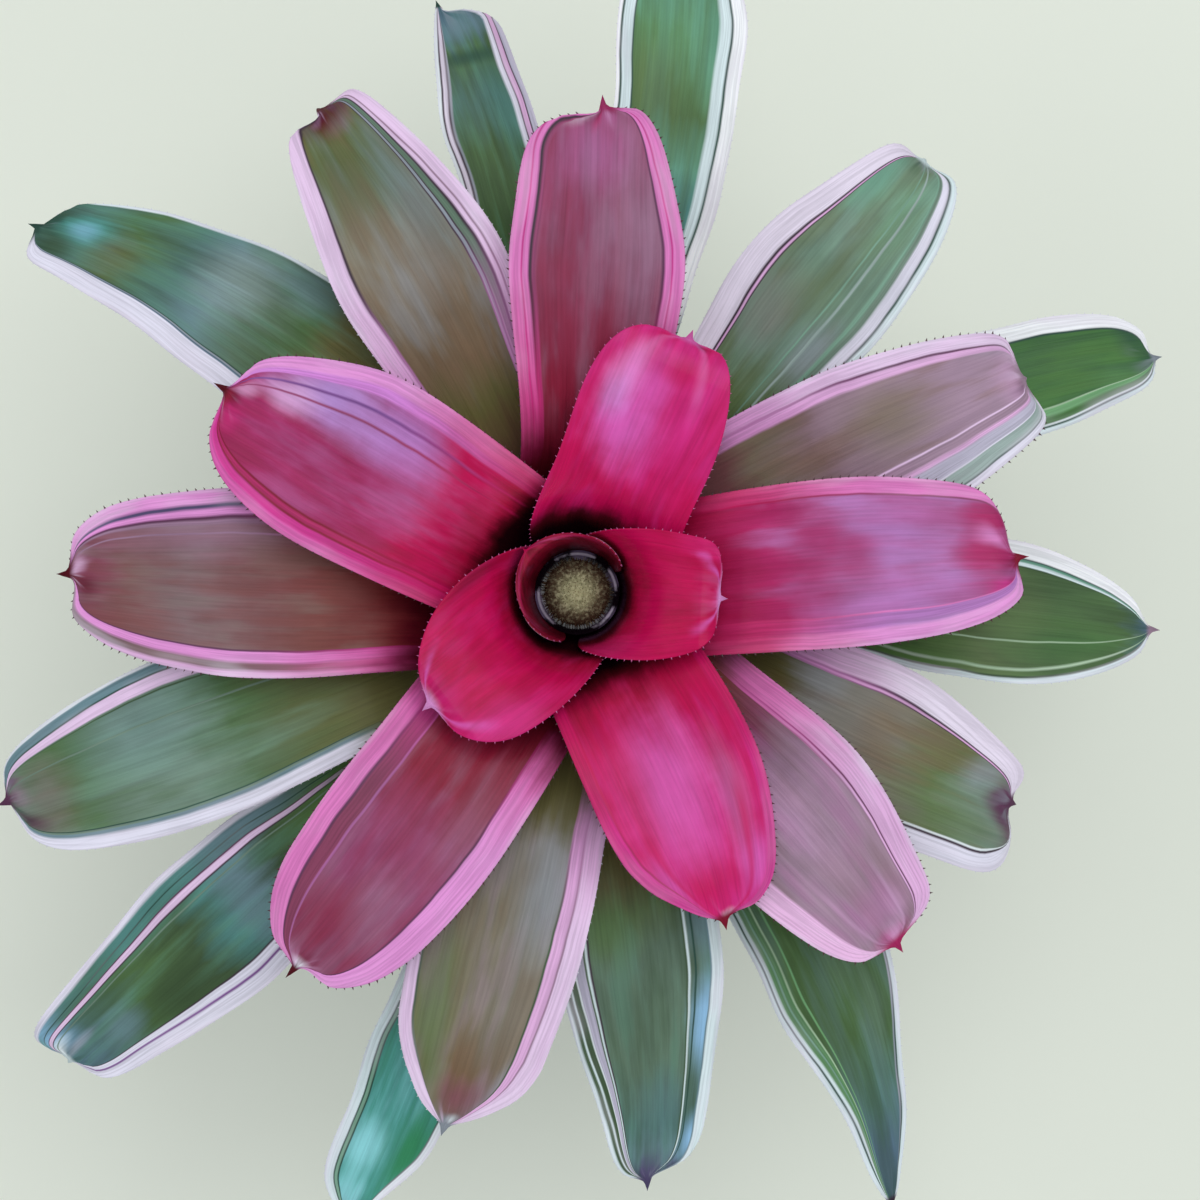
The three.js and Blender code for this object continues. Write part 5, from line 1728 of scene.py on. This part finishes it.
class BROMELIAD_OT_soil(bpy.types.Operator):
    """Builds the potting mix with bark chips and perlite on top"""
    bl_idname = "bromeliad.soil"
    bl_label = "Potting Mix"

    def execute(self, context):
        settings = context.scene.bromeliad_soil
        bottom, top = heights("potting_soil")
        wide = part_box("potting_soil")[1].x / MM
        level = top - 2

        # Up the inside of the pot, in over the top, and down the hole for the stem.
        section = [
            (0, bottom), (SOIL_FOOT, bottom), (wide - 0.2, level - 11), (SOIL_EDGE - 6, level - 1),
            (SOIL_EDGE * 0.6, level), (SOIL_HOLE + 4, top - 1), (SOIL_HOLE, top - 1),
            (SOIL_HOLE, SOIL_HOLE_FLOOR), (0, SOIL_HOLE_FLOOR)]
        piece = new_object("littered_soil", turned("littered_soil", section, 96))
        piece.data.materials.append(grown_material("potting_mix"))
        modifier = add_nodes_modifier(piece, litter_tree(), {
            "Chips": settings.chips, "Chip Size": settings.chip_size, "Grains": settings.grains,
            "Inner Radius": LITTER_FROM * MM, "Outer Radius": LITTER_TO * MM, "Level": level * MM,
            "Bark": grown_material("bark_chip"), "Perlite": grown_material("perlite"),
            "Seed": LITTER_SEED})
        apply_modifier(piece, modifier)
        attach(piece, "potting_soil")
        return {"FINISHED"}


def pot_material(settings):
    """Matt plastic with a little dust on it."""
    material, tree, shader = new_material("pot_plastic", Roughness=0.5)
    grit = use_group(tree, "Grit", Fine=1200.0, Coarse=35.0)
    dusty = [0.5 * c + 0.09 for c in settings.colour] + [1.0]
    dust = map_range(tree, grit["Blotch"], 0.45, 0.75, 0.0, 0.5)
    colour = mix_colour(tree, dust, list(settings.colour) + [1.0], dusty)
    tree.links.new(colour, shader.inputs["Base Color"])
    rough = maths(tree, "MULTIPLY_ADD", grit["Blotch"], 0.3, 0.35)
    tree.links.new(rough, shader.inputs["Roughness"])
    roughened(tree, shader, grit["Speckle"], strength=0.2, depth=0.15 * MM)
    return material


def drain_holes():
    """A ring of upright cylinders where the pot's drain holes are cut."""
    mesh = bmesh.new()
    for i in range(DRAIN_HOLES):
        angle = 2 * math.pi * i / DRAIN_HOLES
        place = Vector((DRAIN_RING * math.cos(angle), DRAIN_RING * math.sin(angle), 1)) * MM
        bmesh.ops.create_cone(
            mesh, cap_ends=True, segments=32, radius1=DRAIN_RADIUS * MM, radius2=DRAIN_RADIUS * MM,
            depth=20 * MM, matrix=Matrix.Translation(place))
    data = bpy.data.meshes.new("drain_holes")
    mesh.to_mesh(data)
    mesh.free()
    return new_object("drain_holes", data)


class BROMELIAD_OT_pot(bpy.types.Operator):
    """Builds the thin nursery pot with its banded mouth and drain holes"""
    bl_idname = "bromeliad.pot"
    bl_label = "Pot"

    def execute(self, context):
        settings = context.scene.bromeliad_pot
        top = heights("pot")[1]
        band = top - POT_BAND

        # Out under the base, up the wall, over the band at the mouth, and back inside.
        section = [
            (0, 1.2), (12, 1.2), (13, 0), (43.5, 0), (45.3, 0.5), (46, 1.8), (60.9, band - 0.6),
            (61.6, band), (64.3, band), (65, band + 0.8), (65.7, top - 1.6), (65.5, top - 0.6),
            (64.9, top), (63.6, top), (63, top - 0.6), (62.4, band + 1.5), (59.2, band - 1.5),
            (44.4, 3.6), (43.4, 2.5), (0, 2.5)]
        piece = new_object("nursery_pot", turned("nursery_pot", section, settings.sides))
        cutter = drain_holes()
        cut = piece.modifiers.new("Drain Holes", "BOOLEAN")
        cut.object = cutter
        cut.solver = "EXACT"
        apply_modifier(piece, cut)
        bpy.data.objects.remove(cutter)
        piece.data.materials.clear()
        piece.data.materials.append(pot_material(settings))
        shade_smooth(piece.data, 35)
        attach(piece, "pot")
        return {"FINISHED"}


# ----------------------------------------------------------------------------- the stage


class BROMELIAD_OT_stage(bpy.types.Operator):
    """Lays the floor, hangs the soft lights and sets the camera straight above"""
    bl_idname = "bromeliad.stage"
    bl_label = "Stage"

    def execute(self, context):
        scene = context.scene
        settings = scene.bromeliad_stage
        mesh = bpy.data.meshes.new("floor")
        square = ((-1, -1), (1, -1), (1, 1), (-1, 1))
        corners = [(x * FLOOR_HALF, y * FLOOR_HALF, 0) for x, y in square]
        mesh.from_pydata(corners, [], [(0, 1, 2, 3)])
        floor = new_object("floor", mesh)
        material, _, shader = new_material("floor_paint", Roughness=0.9)
        shader.inputs["Base Color"].default_value = list(settings.floor_colour) + [1.0]
        mesh.materials.append(material)

        camera_data = bpy.data.cameras.new("camera")
        camera_data.lens = settings.focal_length
        camera_data.sensor_width = 36
        camera_data.sensor_fit = "HORIZONTAL"
        camera = new_object("camera", camera_data)
        camera.location = (*CAMERA_PLACE, settings.camera_height)
        scene.camera = camera

        for name, place, size, power in LIGHTS:
            light_data = bpy.data.lights.new(name, "AREA")
            light_data.shape = "DISK"
            light_data.size = size
            light_data.energy = power
            light = new_object(name, light_data)
            light.location = place
            toward = Vector(LIGHT_TARGET) - Vector(place)
            light.rotation_euler = toward.to_track_quat("-Z", "Y").to_euler()
        world = bpy.data.worlds.new("soft_sky")
        world.use_nodes = True
        sky = world.node_tree.nodes["Background"]
        sky.inputs["Color"].default_value = SKY_COLOUR
        sky.inputs["Strength"].default_value = SKY_STRENGTH
        scene.world = world
        scene.view_settings.view_transform = "Standard"
        return {"FINISHED"}


# ------------------------------------------------------------------------ panel and run

OPERATORS = (
    BROMELIAD_OT_leaves, BROMELIAD_OT_flower_head, BROMELIAD_OT_tank_water, BROMELIAD_OT_stem,
    BROMELIAD_OT_soil, BROMELIAD_OT_pot, BROMELIAD_OT_stage,
)


class BROMELIAD_PT_panel(bpy.types.Panel):
    """Lists the plant's settings and pieces in the sidebar"""
    bl_idname = "BROMELIAD_PT_panel"
    bl_label = "Neoregelia Bromeliad"
    bl_space_type = "VIEW_3D"
    bl_region_type = "UI"
    bl_category = "Bromeliad"

    def draw(self, context):
        for settings in SETTINGS:
            group = getattr(context.scene, settings)
            for name in group.__annotations__:
                self.layout.prop(group, name)
        for operator in OPERATORS:
            self.layout.operator(operator.bl_idname)


SETTINGS = {
    "bromeliad_leaves": LeafSettings,
    "bromeliad_head": HeadSettings,
    "bromeliad_soil": SoilSettings,
    "bromeliad_pot": PotSettings,
    "bromeliad_stage": StageSettings,
}


def register():
    for cls in (*SETTINGS.values(), *OPERATORS, BROMELIAD_PT_panel):
        bpy.utils.register_class(cls)
    for name, group in SETTINGS.items():
        setattr(bpy.types.Scene, name, PointerProperty(type=group))


def unregister():
    for name in SETTINGS:
        delattr(bpy.types.Scene, name)
    for cls in reversed((*SETTINGS.values(), *OPERATORS, BROMELIAD_PT_panel)):
        bpy.utils.unregister_class(cls)


def main():
    register()
    for operator in OPERATORS:
        getattr(bpy.ops.bromeliad, operator.bl_idname.split(".")[1])()


if __name__ == "__main__":
    main()
